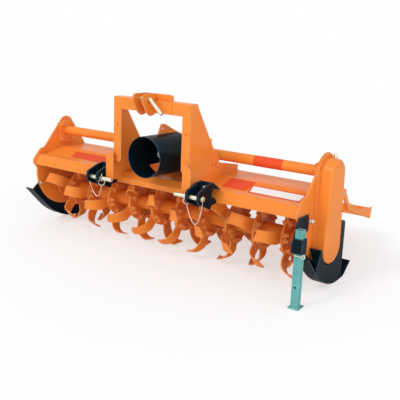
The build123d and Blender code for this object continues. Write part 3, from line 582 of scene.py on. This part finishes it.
# %% Rotor bolts
FIRST_FLANGE = 145.0          # from a side plate to the first flange
FLANGES = 10
BLADES = 6
GANG_TURN = 15.0              # degrees from one flange to the next
FIRST_TURN = 161.0            # degrees from straight back to the first blade
BOLT_CIRCLE = 91.0            # from the rotor's axis
BOLT_ACROSS = 15.0            # from the blade's middle
FLANGE_FACE = 6.0             # from a flange's middle to its face
BLADE_FACE = 14.0             # and to the face of the blade on it
BLADE_BOLT = 26.0             # across the flats
flange_step = (RIGHT_INNER - LEFT_INNER - 2.0 * FIRST_FLANGE) / (FLANGES - 1)

head_rows = []
nut_rows = []
for flange in range(FLANGES):
    x_flange = LEFT_INNER + FIRST_FLANGE + flange * flange_step
    for blade in range(BLADES):
        hand = 1.0 if blade % 2 else -1.0
        turn = math.radians(FIRST_TURN + flange * GANG_TURN + blade * 360.0 / BLADES)
        outward = Vector((math.cos(turn), math.sin(turn)))
        across = Vector((-math.sin(turn), math.cos(turn)))
        for side in (-1.0, 1.0):
            spot = outward * BOLT_CIRCLE + across * (side * BOLT_ACROSS)
            head_place = at(x_flange + hand * BLADE_FACE, spot.x, spot.y)
            nut_place = at(x_flange - hand * FLANGE_FACE, spot.x, spot.y)
            head_rows.append((head_place, RIGHT * hand, BLADE_BOLT))
            nut_rows.append((nut_place, RIGHT * -hand, BLADE_BOLT))
fasteners("rotor_bolt_heads", head_rows, HEAD, ORANGE, "rotor")
fasteners("rotor_bolt_nuts", nut_rows, NUT, ORANGE, "rotor")

# %% [markdown]
# ## Bolts on the frame
# The plates carry the cross tubes, rotor bearings, skids and stand on bolts. Painted
# ones went on before the machine was sprayed, and plated ones after it. They sit where
# plates overlap and follow no even pattern, so their places are short lists.

# %% Painted bolts on the frame; places are (behind, up)
FLANGE_BOLTS = [(-42.0, 392.0), (42.0, 392.0), (-42.0, 300.0), (42.0, 300.0)]
TUBE_FLANGE = 12.0            # thickness of a tube's end flange
BEARING_CIRCLE = 54.0         # from the rotor's axis
BEARING_BOLTS = 4
PLATE_BOLT = (-208.0, 40.0)
CASE_BOLTS = [(-135.0, 216.0), (-134.0, 176.0)]
SKIRT_BOLTS = [(-121.0, 323.0), (-89.0, 321.0)]
SKIRT_STAND = 2.5             # how far the skirt leans out at its bolts
PLATE_FLATS = 19.0            # the plates' bolts, across the flats
CASE_FLATS = 15.0
SKIRT_FLATS = 13.0
portal_low, portal_high = span("headstock_portal")

painted_rows = []
for place in FLANGE_BOLTS:
    painted_rows.append((at(LEFT_INNER + TUBE_FLANGE, *place), RIGHT, PLATE_FLATS))
    painted_rows.append((at(RIGHT_INNER - TUBE_FLANGE, *place), -RIGHT, PLATE_FLATS))
    painted_rows.append((at(LEFT_OUTER, *place), -RIGHT, PLATE_FLATS))
for number in range(BEARING_BOLTS):
    turn = 2.0 * math.pi * (number + 0.5) / BEARING_BOLTS
    behind = BEARING_CIRCLE * math.cos(turn)
    up = BEARING_CIRCLE * math.sin(turn)
    painted_rows.append((at(LEFT_OUTER, behind, up), -RIGHT, PLATE_FLATS))
for place in SKIRT_BOLTS:
    painted_rows.append((at(portal_high.x + SKIRT_STAND, *place), RIGHT, SKIRT_FLATS))
    painted_rows.append((at(portal_low.x - SKIRT_STAND, *place), -RIGHT, SKIRT_FLATS))
for place in CASE_BOLTS:
    painted_rows.append((at(RIGHT_OUTER, *place), RIGHT, CASE_FLATS))
painted_rows.append((at(LEFT_OUTER, *PLATE_BOLT), -RIGHT, PLATE_FLATS))
fasteners("frame_bolts", painted_rows, HEAD, ORANGE, "frame")

# %% Plated bolts on the frame
STRAP_BOLT = (-294.0, 236.0)
STRAP_AIM = (-0.96, 0.28)     # behind and up, square to the clevis straps
STRAP_FLATS = 22.0
GUARD_BOLT = (-15.0, -118.0)  # from the input axis, and behind
GUARD_SINK = 1.0              # the washer beds into the round of the guard
GUARD_FLATS = 15.0
SKID_BOLTS = [(-205.0, 30.0), (-166.0, -58.0)]
SKID_SHEET = 6.0
INNER_FLATS = 17.0
guard_top = span("shaft_guard")[1].z
strap_aim = (BACK * STRAP_AIM[0] + UP * STRAP_AIM[1]).normalized()

plated_rows = []
for clevis in ("hitch_clevis_left", "hitch_clevis_right"):
    clevis_low, clevis_high = span(clevis)
    clevis_middle = (clevis_low.x + clevis_high.x) / 2.0
    plated_rows.append((at(clevis_middle, *STRAP_BOLT), strap_aim, STRAP_FLATS))
plated_rows.append((at(LEFT_INNER, *PLATE_BOLT), RIGHT, INNER_FLATS))
plated_rows.append((at(*GUARD_BOLT, guard_top - GUARD_SINK), UP, GUARD_FLATS))
for place in SKID_BOLTS:
    plated_rows.append((at(LEFT_OUTER - SKID_SHEET, *place), -RIGHT, PLATE_FLATS))
fasteners("plated_bolts", plated_rows, HEAD, ZINC, "frame")

# %% The stand bracket's bolt stands well out, so it is a nut on a long thread
BRACKET_BOLT = (-132.0, 133.0)
BRACKET_SHEET = 8.0
BRACKET_FLATS = 22.0
bracket_rows = [(at(RIGHT_OUTER + BRACKET_SHEET, *BRACKET_BOLT), RIGHT, BRACKET_FLATS)]
fasteners("bracket_bolt", bracket_rows, NUT, ZINC, "frame")

# %% [markdown]
# ## Covers on the gearbox, and small holes
# The gearbox is cast, and its bearings are closed by turned covers: one at the rear,
# and one at its left end, round the cross tube. They are discs with an eased rim, and
# the bolt tree sets them too, because it only needs a pattern, a place, an aim and a size.
# Holes thinner than a finger are thin discs coloured with painted shade, the shade inside a hole: cutting them
# would change the plates for a shape that reads only as a dark dot.

# %% Covers on the gearbox
COVER_DISC = (40, [(0.5, 0.0), (0.5, 0.05), (0.47, 0.07)])
COVER_ACROSS = 104.0
COVER_BOLTS = 8
COVER_BOLT_CIRCLE = 41.0
COVER_FACE = 7.2              # how far a cover's face stands off the casting
COVER_FLATS = 13.0
BREATHER_BEHIND = 20.0
BREATHER_FLATS = 24.0
COVER = bpy.data.objects.new("cover_pattern", stacked([COVER_DISC], "cover_pattern"))
box_low, box_high = span("gearbox")
TUBE_UP = (box_low.z + box_high.z) / 2.0

cover_rows = [
    (at(0.0, box_high.y, TUBE_UP), BACK, COVER_ACROSS),
    (at(box_low.x, 0.0, TUBE_UP), -RIGHT, COVER_ACROSS),
]
fasteners("gearbox_covers", cover_rows, COVER, ORANGE, "frame")

cover_bolt_rows = []
for number in range(COVER_BOLTS):
    turn = 2.0 * math.pi * (number + 0.5) / COVER_BOLTS
    x_bolt = COVER_BOLT_CIRCLE * math.cos(turn)
    up_bolt = TUBE_UP + COVER_BOLT_CIRCLE * math.sin(turn)
    cover_bolt_rows.append((at(x_bolt, box_high.y + COVER_FACE, up_bolt), BACK, COVER_FLATS))
fasteners("gearbox_bolts", cover_bolt_rows, HEAD, ORANGE, "frame")
breather_rows = [(at(0.0, BREATHER_BEHIND, box_high.z), UP, BREATHER_FLATS)]
fasteners("gearbox_breather", breather_rows, NUT, ZINC, "frame")

# %% Small holes, drawn as thin discs of painted shade
HOLE_DISC = (16, [(0.5, 0.0), (0.5, 0.02)])
POST_HOLE_X = 229.0           # from the input axis, one in each post
POST_HOLE_UP = 497.0
POST_HOLE_ACROSS = 7.0
LEG_HALF = 18.0               # half the leg's thickness
LEG_HOLE_UP = -155.0
LEG_HOLE_ACROSS = 11.0
SOCKET_HALF = 24.0            # from the socket's front to the leg's middle
SHADE_DISC = bpy.data.objects.new("hole_pattern", stacked([HOLE_DISC], "hole_pattern"))
leg_low, leg_high = span("stand_leg")
leg_x = (leg_low.x + leg_high.x) / 2.0
leg_behind = span("stand_bracket")[0].y + SOCKET_HALF

post_holes = []
for side in (-1.0, 1.0):
    post_holes.append((at(side * POST_HOLE_X, portal_low.y, POST_HOLE_UP), -BACK, POST_HOLE_ACROSS))
fasteners("post_holes", post_holes, SHADE_DISC, PAINTED_HOLE_SHADE, "frame")
leg_holes = [(at(leg_x, leg_behind - LEG_HALF, LEG_HOLE_UP), -BACK, LEG_HOLE_ACROSS)]
fasteners("leg_hole", leg_holes, SHADE_DISC, PAINTED_HOLE_SHADE, "stand_leg")
print("the leg stands at x", round(leg_x), "and behind", round(leg_behind))

# %% [markdown]
# ## Weld beads
# The frame is welded: cheeks to the hood, hood and rail to the side plates, tubes to
# their flanges, and the chain case to its plate. The seams follow the plates' own
# edges, a little proud of the corner, as a fillet weld does. A ribbed bump on the paint
# would be lighter to make, but it would vanish wherever the seam meets the outline.

# %% Where the plates meet; places are (behind, up)
RAIL_TOP = 222.0
RAIL_LINE = [(-251.0, 165.0), (-251.0, 192.0), (-221.0, RAIL_TOP), (-204.0, RAIL_TOP)]
HOOD_LINE = [(-166.0, RAIL_TOP), (-45.0, 257.0), (145.0, 257.0), (228.0, 226.0)]
SKIRT_LINE = [
    (-204.0, 223.0), (-166.0, 223.0), (-110.0, 239.0), (-60.0, 253.0), (-45.0, 258.0), (127.0, 258.0),
]
SKIRT_FRONT = -354.0
SKIRT_END = -60.0
SKIRT_OUT = 31.0              # how far the skirt's front foot leans out
CREASE_UP = 338.0
TUBE_BEAD = 30.0              # radius of the bead round a tube
CHEEK_SEAM_BEHIND = -324.5
CHEEK_SEAM_UP = (356.0, 646.0)
PORTAL_SEAM_X = 137.0
PORTAL_SEAM_UP = (588.0, 646.0)
CASE_FOOT_UP = -12.0
CASE_FOOT_RADIUS = 87.0
PLATE_FOOT_RADIUS = 86.0
BEAD_RADIUS = 3.0
BEAD_RIPPLE = 0.28
PROUD = 1.0                   # a bead's middle stands this far off its corner
ROUND_STEPS = 24


# %% Paths along and round the plates
def skirt_x(behind, up):
    """Outer face of a skirt, from the input axis: it leans out to the front and the foot."""
    run_out = max(0.0, (SKIRT_END - behind) / (SKIRT_END - SKIRT_FRONT))
    lean = (CREASE_UP - up) / (CREASE_UP - RAIL_TOP)
    return portal_high.x + SKIRT_OUT * run_out * lean


def obround(x, top_up, foot_up, top_radius, foot_radius):
    """A closed path round a chain case, at this x."""
    path = []
    for step in range(ROUND_STEPS + 1):
        turn = math.pi * step / ROUND_STEPS
        path.append(at(x, -top_radius * math.cos(turn), top_up + top_radius * math.sin(turn)))
    for step in range(ROUND_STEPS + 1):
        turn = math.pi * step / ROUND_STEPS
        path.append(at(x, foot_radius * math.cos(turn), foot_up - foot_radius * math.sin(turn)))
    return path


def ring_path(centre, first, second, radius):
    """A closed circle about a centre, in the plane of two directions; radius in mm."""
    turns = [2.0 * math.pi * step / ROUND_STEPS for step in range(ROUND_STEPS)]
    return [centre + (first * math.cos(t) + second * math.sin(t)) * (radius * MM) for t in turns]


# %% Weld beads
CHEEK_SEAM_IN = 1.5           # from the portal's side to its seam with a cheek
PLATE_PROUD = 1.5             # the bead round the case's back plate stands further off
PORTAL_PROUD = 0.2            # the portal's seam is a butt joint, so half of it is sunk
seams = []
for side in (-1.0, 1.0):
    skirt = [at(side * (skirt_x(behind, up) + PROUD), behind, up) for behind, up in SKIRT_LINE]
    cheek_x = side * (portal_high.x - CHEEK_SEAM_IN)
    seams.append((False, skirt))
    seams.append((False, [at(cheek_x, CHEEK_SEAM_BEHIND, up) for up in CHEEK_SEAM_UP]))
for x in (LEFT_INNER + PROUD, RIGHT_INNER - PROUD):
    seams.append((False, [at(x, behind, up + PROUD) for behind, up in RAIL_LINE + HOOD_LINE]))
for x in (LEFT_INNER + TUBE_FLANGE + PROUD, RIGHT_INNER - TUBE_FLANGE - PROUD):
    seams.append((True, ring_path(at(x, 0.0, TUBE_UP), BACK, UP, TUBE_BEAD)))

case_radius = span("chain_case")[1].z - TUBE_UP + PROUD
plate_low, plate_high = span("chain_case_back")
plate_radius = plate_high.z - TUBE_UP + PLATE_PROUD
case_seam = obround(plate_high.x + PROUD, TUBE_UP, CASE_FOOT_UP, case_radius, CASE_FOOT_RADIUS)
plate_seam = obround(plate_low.x + PLATE_PROUD, TUBE_UP, CASE_FOOT_UP, plate_radius, PLATE_FOOT_RADIUS)
seams.append((True, case_seam))
seams.append((True, plate_seam))
portal_seam = [at(PORTAL_SEAM_X, portal_low.y - PORTAL_PROUD, up) for up in PORTAL_SEAM_UP]
seams.append((False, portal_seam))
swept("weld_beads", seams, BEAD_RADIUS, BEAD_RIPPLE, ORANGE, "frame")

# %% [markdown]
# ## Lynch pins, rings and wires
# Each hitch pin is kept in by a lynch pin with a spring ring, and a wire ties the ring
# to the pin's head so that neither is lost. The wires hang by their weight, so each is
# drawn as a sagging arc between its two ends.

# %% Sizes of the hitch pin keepers
KEEPER_IN = 8.0               # a lynch pin's place, inboard of the clevis
LYNCH_ABOVE = 12.0            # how far it stands over the hitch pin
LYNCH_BELOW = 9.0
LYNCH_WIRE = 2.4              # radius of its wire and of its ring's
RING_RADIUS = 17.0
RING_DROP = 23.0
COLLAR_IN = 5.0               # from the hitch pin's end to the wire's collar
COLLAR_FIT = 1.5
KEEPER_WIRE = 1.9
KEEPER_TWIST = 0.12           # ripple of a twisted wire, as a share of its radius
SAGS = {"left": 84.0, "right": 112.0}
WIRE_DRIFT = 14.0             # how far a wire hangs back
WIRE_STEPS = 18
WIRE_TIE = 2.0                # its end's depth under the hitch pin
hitch_low, hitch_high = span("hitch_pin_right")
pin_behind = (hitch_low.y + hitch_high.y) / 2.0
pin_up = (hitch_low.z + hitch_high.z) / 2.0
pin_radius = (hitch_high.z - hitch_low.z) / 2.0
print("hitch pins at behind", round(pin_behind), "and up", round(pin_up))


# %% A wire that hangs between two places
def hanging_wire(inner_x, outer_x, sag):
    """Points of a wire from the ring's foot to under the hitch pin's end, sagging between."""
    start_up = pin_up - RING_DROP - RING_RADIUS
    end_up = pin_up - pin_radius - WIRE_TIE
    path = []
    for step in range(WIRE_STEPS + 1):
        share = step / WIRE_STEPS
        x = inner_x + (outer_x - inner_x) * share
        behind = pin_behind + WIRE_DRIFT * math.sin(math.pi * share)
        up = start_up + (end_up - start_up) * share - 4.0 * share * (1.0 - share) * sag
        path.append(at(x, behind, up))
    return path


# %% Keepers on both hitch pins
ring_plane = (BACK * 0.8 + RIGHT * 0.6).normalized()
keepers = []
wires = []
for side, name in ((-1.0, "left"), (1.0, "right")):
    clevis_low, clevis_high = span("hitch_clevis_" + name)
    inner_x = side * (min(abs(clevis_low.x), abs(clevis_high.x)) - KEEPER_IN)
    outer_x = side * (hitch_high.x - COLLAR_IN)
    ring_centre = at(inner_x, pin_behind, pin_up - RING_DROP)
    lynch_top = at(inner_x, pin_behind, pin_up + pin_radius + LYNCH_ABOVE)
    lynch_foot = at(inner_x, pin_behind, pin_up - pin_radius - LYNCH_BELOW)
    collar_centre = at(outer_x, pin_behind, pin_up)
    keepers.append((True, ring_path(ring_centre, ring_plane, UP, RING_RADIUS)))
    keepers.append((False, [lynch_top, lynch_foot]))
    keepers.append((True, ring_path(collar_centre, BACK, UP, pin_radius + COLLAR_FIT)))
    wires.append((False, hanging_wire(inner_x, outer_x, SAGS[name])))
swept("lynch_pins", keepers, LYNCH_WIRE, 0.0, ZINC, "frame")
swept("keeper_wires", wires, KEEPER_WIRE, KEEPER_TWIST, ZINC, "frame")

# %% [markdown]
# The stand's leg has a keeper too: a spring clip bent round it just under its socket,
# with an eye at one corner to pull it by. It stays at the socket when the leg is raised.
# Its path is a square whose corners are quarter rounds, worked out corner by corner.

# %% Spring clip on the stand
CLIP_HALF = 22.0
CLIP_UP = 2.0
CLIP_CORNER = 7.0
CLIP_EYE = 8.5
CLIP_EYE_BEHIND = 6.0
CLIP_WIRE = 2.2
CORNER_STEPS = 4
clip_flat = CLIP_HALF - CLIP_CORNER
clip = []
for across, along_sign in ((-1.0, -1.0), (1.0, -1.0), (1.0, 1.0), (-1.0, 1.0)):
    first_turn = math.atan2(along_sign, across) - math.pi / 4.0
    for step in range(CORNER_STEPS + 1):
        turn = first_turn + (math.pi / 2.0) * step / CORNER_STEPS
        x = leg_x + across * clip_flat + CLIP_CORNER * math.cos(turn)
        behind = leg_behind + along_sign * clip_flat + CLIP_CORNER * math.sin(turn)
        clip.append(at(x, behind, CLIP_UP))
eye_centre = at(leg_x + CLIP_HALF + CLIP_EYE, leg_behind - CLIP_HALF + CLIP_EYE_BEHIND, CLIP_UP)
eye = ring_path(eye_centre, RIGHT, UP, CLIP_EYE)
swept("stand_clip", [(True, clip), (True, eye)], CLIP_WIRE, 0.0, ZINC, "frame")

# %% [markdown]
# ## Films
# Signs are left bare: their grounds are plain films in the right colours, cut with
# rounded corners and laid on the hood's front slope, and one band wraps the cross tube.
# Colour painted into the hood's own finish would blur at the edge; a film stays crisp.

# %% Films on the hood's slope
SLOPE_FOOT = (-166.0, 222.0)
SLOPE_TOP = (-45.0, 257.0)
slope_run = SLOPE_TOP[0] - SLOPE_FOOT[0]
slope_rise = SLOPE_TOP[1] - SLOPE_FOOT[1]
slope_normal = (UP * slope_run - BACK * slope_rise).normalized()
FILM = 0.5


def on_slope(x, behind, lift):
    """A point on the hood's front slope, lift mm above the paint."""
    up = SLOPE_FOOT[1] + (behind - SLOPE_FOOT[0]) * slope_rise / slope_run
    return at(x, behind, up) + slope_normal * (lift * MM)


def eased(outline, radius, steps=5):
    """A polygon with each corner replaced by a quadratic curve; radius in mm."""
    corners = [Vector(corner) for corner in outline]
    path = []
    for index, corner in enumerate(corners):
        before = (corners[index - 1] - corner).normalized() * radius
        after = (corners[(index + 1) % len(corners)] - corner).normalized() * radius
        for step in range(steps + 1):
            share = step / steps
            path.append(corner + before * (1.0 - share) ** 2 + after * share ** 2)
    return path


def slope_film(name, outline, radius, lift, material):
    """A rounded film on the slope, as a closed thin plate."""
    made = bmesh.new()
    path = eased(outline, radius)
    lower = [made.verts.new(on_slope(point.x, point.y, lift)) for point in path]
    upper = [made.verts.new(on_slope(point.x, point.y, lift + FILM)) for point in path]
    made.faces.new(upper)
    made.faces.new(list(reversed(lower)))
    for index in range(len(path)):
        after = (index + 1) % len(path)
        made.faces.new((lower[index], lower[after], upper[after], upper[index]))
    return plain_piece(name, plain_mesh(made, name), material, "frame")


# %% The films, by their corners: from the input axis, and behind
FILM_GAP = 0.05               # a film lies this far off the paint
FILM_CORNER = 5.0
PLATE_CORNER = 9.0
FACE_CORNER = 7.0
LEFT_FILM = [(-795.0, -84.0), (-345.0, -84.0), (-362.0, -156.0), (-772.0, -156.0)]
RIGHT_FILM = [(336.0, -57.0), (492.0, -57.0), (490.0, -157.0), (344.0, -157.0)]
PLATE_FILM = [(491.0, -88.0), (804.0, -88.0), (804.0, -165.0), (507.0, -165.0)]
PLATE_FACE = [(502.0, -97.0), (795.0, -97.0), (795.0, -156.0), (516.0, -156.0)]
slope_film("film_left", LEFT_FILM, FILM_CORNER, FILM_GAP, RED)
slope_film("film_right", RIGHT_FILM, FILM_CORNER, FILM_GAP, RED)
slope_film("film_plate_edge", PLATE_FILM, PLATE_CORNER, FILM_GAP, RED)
slope_film("film_plate_face", PLATE_FACE, FACE_CORNER, FILM_GAP + FILM, WHITE)

# %% Band on the right cross tube
BAND = (448.0, 616.0)         # its ends, from the input axis
BAND_FROM = -75.0             # degrees up from straight ahead
BAND_TO = 140.0
BAND_STEPS = 24
TUBE_RADIUS = 28.0
band_rows = []
for step in range(BAND_STEPS + 1):
    turn = math.radians(BAND_FROM + (BAND_TO - BAND_FROM) * step / BAND_STEPS)
    out = -BACK * math.cos(turn) + UP * math.sin(turn)
    band_rows.append([(at(x, 0.0, TUBE_UP) + out * (TUBE_RADIUS * MM), out) for x in BAND])
slab("film_band", band_rows, FILM, RED, "frame")

# %% [markdown]
# ## Floor, light and camera
# The machine is shown on a pale studio floor. A wide soft light from the front left
# makes the folds read, a side light keeps the drive end from going flat, and a low one
# reaches the rotor under its hood. They are suns, which light the floor evenly all the
# way out, so it stays white behind the machine too.

# %% Floor
FLOOR_RADIUS = 80.0
FLOOR_SIDES = 96
FLOOR_GAP = 0.0005            # the floor lies this far under the soles
OWN_WHITE = (0.65, 0.6, 0.59)   # the part of the seen white that no shadow reaches
FLOOR_WAVES = 0.6             # per metre
bpy.ops.mesh.primitive_circle_add(vertices=FLOOR_SIDES, radius=FLOOR_RADIUS, fill_type="NGON")
floor = bpy.context.object
floor.name = "floor"
floor.location.z = FLOOR_Z - FLOOR_GAP
floor_material = bpy.data.materials.new("studio_floor")
floor_material.use_nodes = True
floor_tree = floor_material.node_tree
floor_shader = floor_tree.nodes["Principled BSDF"]
floor_place = floor_tree.nodes.new("ShaderNodeTexCoord").outputs["Object"]
floor_noise = noise(floor_tree, floor_place, FLOOR_WAVES, 3.0)
floor_tone = ranged(floor_tree, floor_noise, 0.3, 0.7, 0.0, 1.0)
floor_colour = mixed(floor_tree, floor_tone, (0.88, 0.88, 0.88), (0.92, 0.92, 0.92))
floor_seen = floor_tree.nodes.new("ShaderNodeLightPath").outputs["Is Camera Ray"]
lit_white = tuple(1.0 - channel for channel in OWN_WHITE)
seen_colour = mixed(floor_tree, floor_seen, floor_colour, lit_white)
link(floor_tree, seen_colour, floor_shader.inputs["Base Color"])
floor_shader.inputs["Emission Color"].default_value = (*OWN_WHITE, 1.0)
link(floor_tree, floor_seen, floor_shader.inputs["Emission Strength"])
floor_shader.inputs["Roughness"].default_value = 0.9
floor_shader.inputs["Specular IOR Level"].default_value = 0.0
floor.data.materials.append(floor_material)
print("floor at", round(floor.location.z, 4))

# %% World: even light, and white where it is seen or mirrored
SEEN_WHITE = (1.0, 1.0, 1.0, 1.0)
EVEN_COLOUR = (0.94, 0.97, 1.0, 1.0)
EVEN_STRENGTH = 0.72
world = bpy.data.worlds.new("studio")
bpy.context.scene.world = world
world.use_nodes = True
sky = world.node_tree
sky.nodes.clear()
sky_output = sky.nodes.new("ShaderNodeOutputWorld")
seen = sky.nodes.new("ShaderNodeLightPath")
white_sky = sky.nodes.new("ShaderNodeBackground")
white_sky.inputs["Color"].default_value = SEEN_WHITE
white_sky.inputs["Strength"].default_value = 1.0
even_sky = sky.nodes.new("ShaderNodeBackground")
even_sky.inputs["Color"].default_value = EVEN_COLOUR
even_sky.inputs["Strength"].default_value = EVEN_STRENGTH
seen_or_shone = sky.nodes.new("ShaderNodeMath")
seen_or_shone.operation = "MAXIMUM"
seen_at_all = sky.nodes.new("ShaderNodeMath")
seen_at_all.operation = "MAXIMUM"
link(sky, seen.outputs["Is Camera Ray"], seen_or_shone.inputs[0])
link(sky, seen.outputs["Is Glossy Ray"], seen_or_shone.inputs[1])
link(sky, seen_or_shone.outputs["Value"], seen_at_all.inputs[0])
link(sky, seen.outputs["Is Transmission Ray"], seen_at_all.inputs[1])
choose = sky.nodes.new("ShaderNodeMixShader")
link(sky, seen_at_all.outputs["Value"], choose.inputs["Fac"])
link(sky, even_sky.outputs["Background"], choose.inputs[1])
link(sky, white_sky.outputs["Background"], choose.inputs[2])
link(sky, choose.outputs["Shader"], sky_output.inputs["Surface"])
print("world links:", len(sky.links))


# %% Lamps
def sun_lamp(name, towards, strength, spread, colour):
    """A soft sun that shines along a direction; spread in degrees."""
    lamp = bpy.data.lights.new(name, "SUN")
    lamp.energy = strength
    lamp.angle = math.radians(spread)
    lamp.color = colour
    lamp_object = bpy.data.objects.new(name, lamp)
    bpy.context.scene.collection.objects.link(lamp_object)
    lamp_object.rotation_euler = Vector(towards).to_track_quat("-Z", "Y").to_euler()
    print(name, "strength", strength)


WARM = (1.0, 0.98, 0.94)
COOL = (0.98, 0.98, 1.0)
PLAIN = (1.0, 1.0, 1.0)
sun_lamp("key_sun", (0.3, 0.6, -0.74), 0.9, 20.0, WARM)
sun_lamp("side_sun", (-0.85, 0.35, -0.3), 0.85, 60.0, COOL)
sun_lamp("low_front_sun", (-0.1, 0.95, 0.1), 1.05, 34.0, PLAIN)

# %% [markdown]
# The camera looks from the front and the drive end, at about the height of a standing
# person's shoulders, so that the rotor, the headstock and the drive case all show.

# %% Camera
CAMERA_PLACE = (2.2524, -2.68696, 0.89947)
CAMERA_TURN = (71.7098, 0.9615, 36.1892)      # degrees about x, y and z
LENS = 61.108                 # mm, on a sensor 36 mm wide
camera_data = bpy.data.cameras.new("camera")
camera_data.sensor_width = 36.0
camera_data.lens = LENS
camera_data.clip_end = 200.0
camera = bpy.data.objects.new("camera", camera_data)
bpy.context.scene.collection.objects.link(camera)
camera.location = CAMERA_PLACE
camera.rotation_euler = [math.radians(turn) for turn in CAMERA_TURN]
bpy.context.scene.camera = camera
bpy.context.scene.view_settings.view_transform = "Standard"
print("camera", round(camera.location.z - FLOOR_Z, 2), "m above the floor")
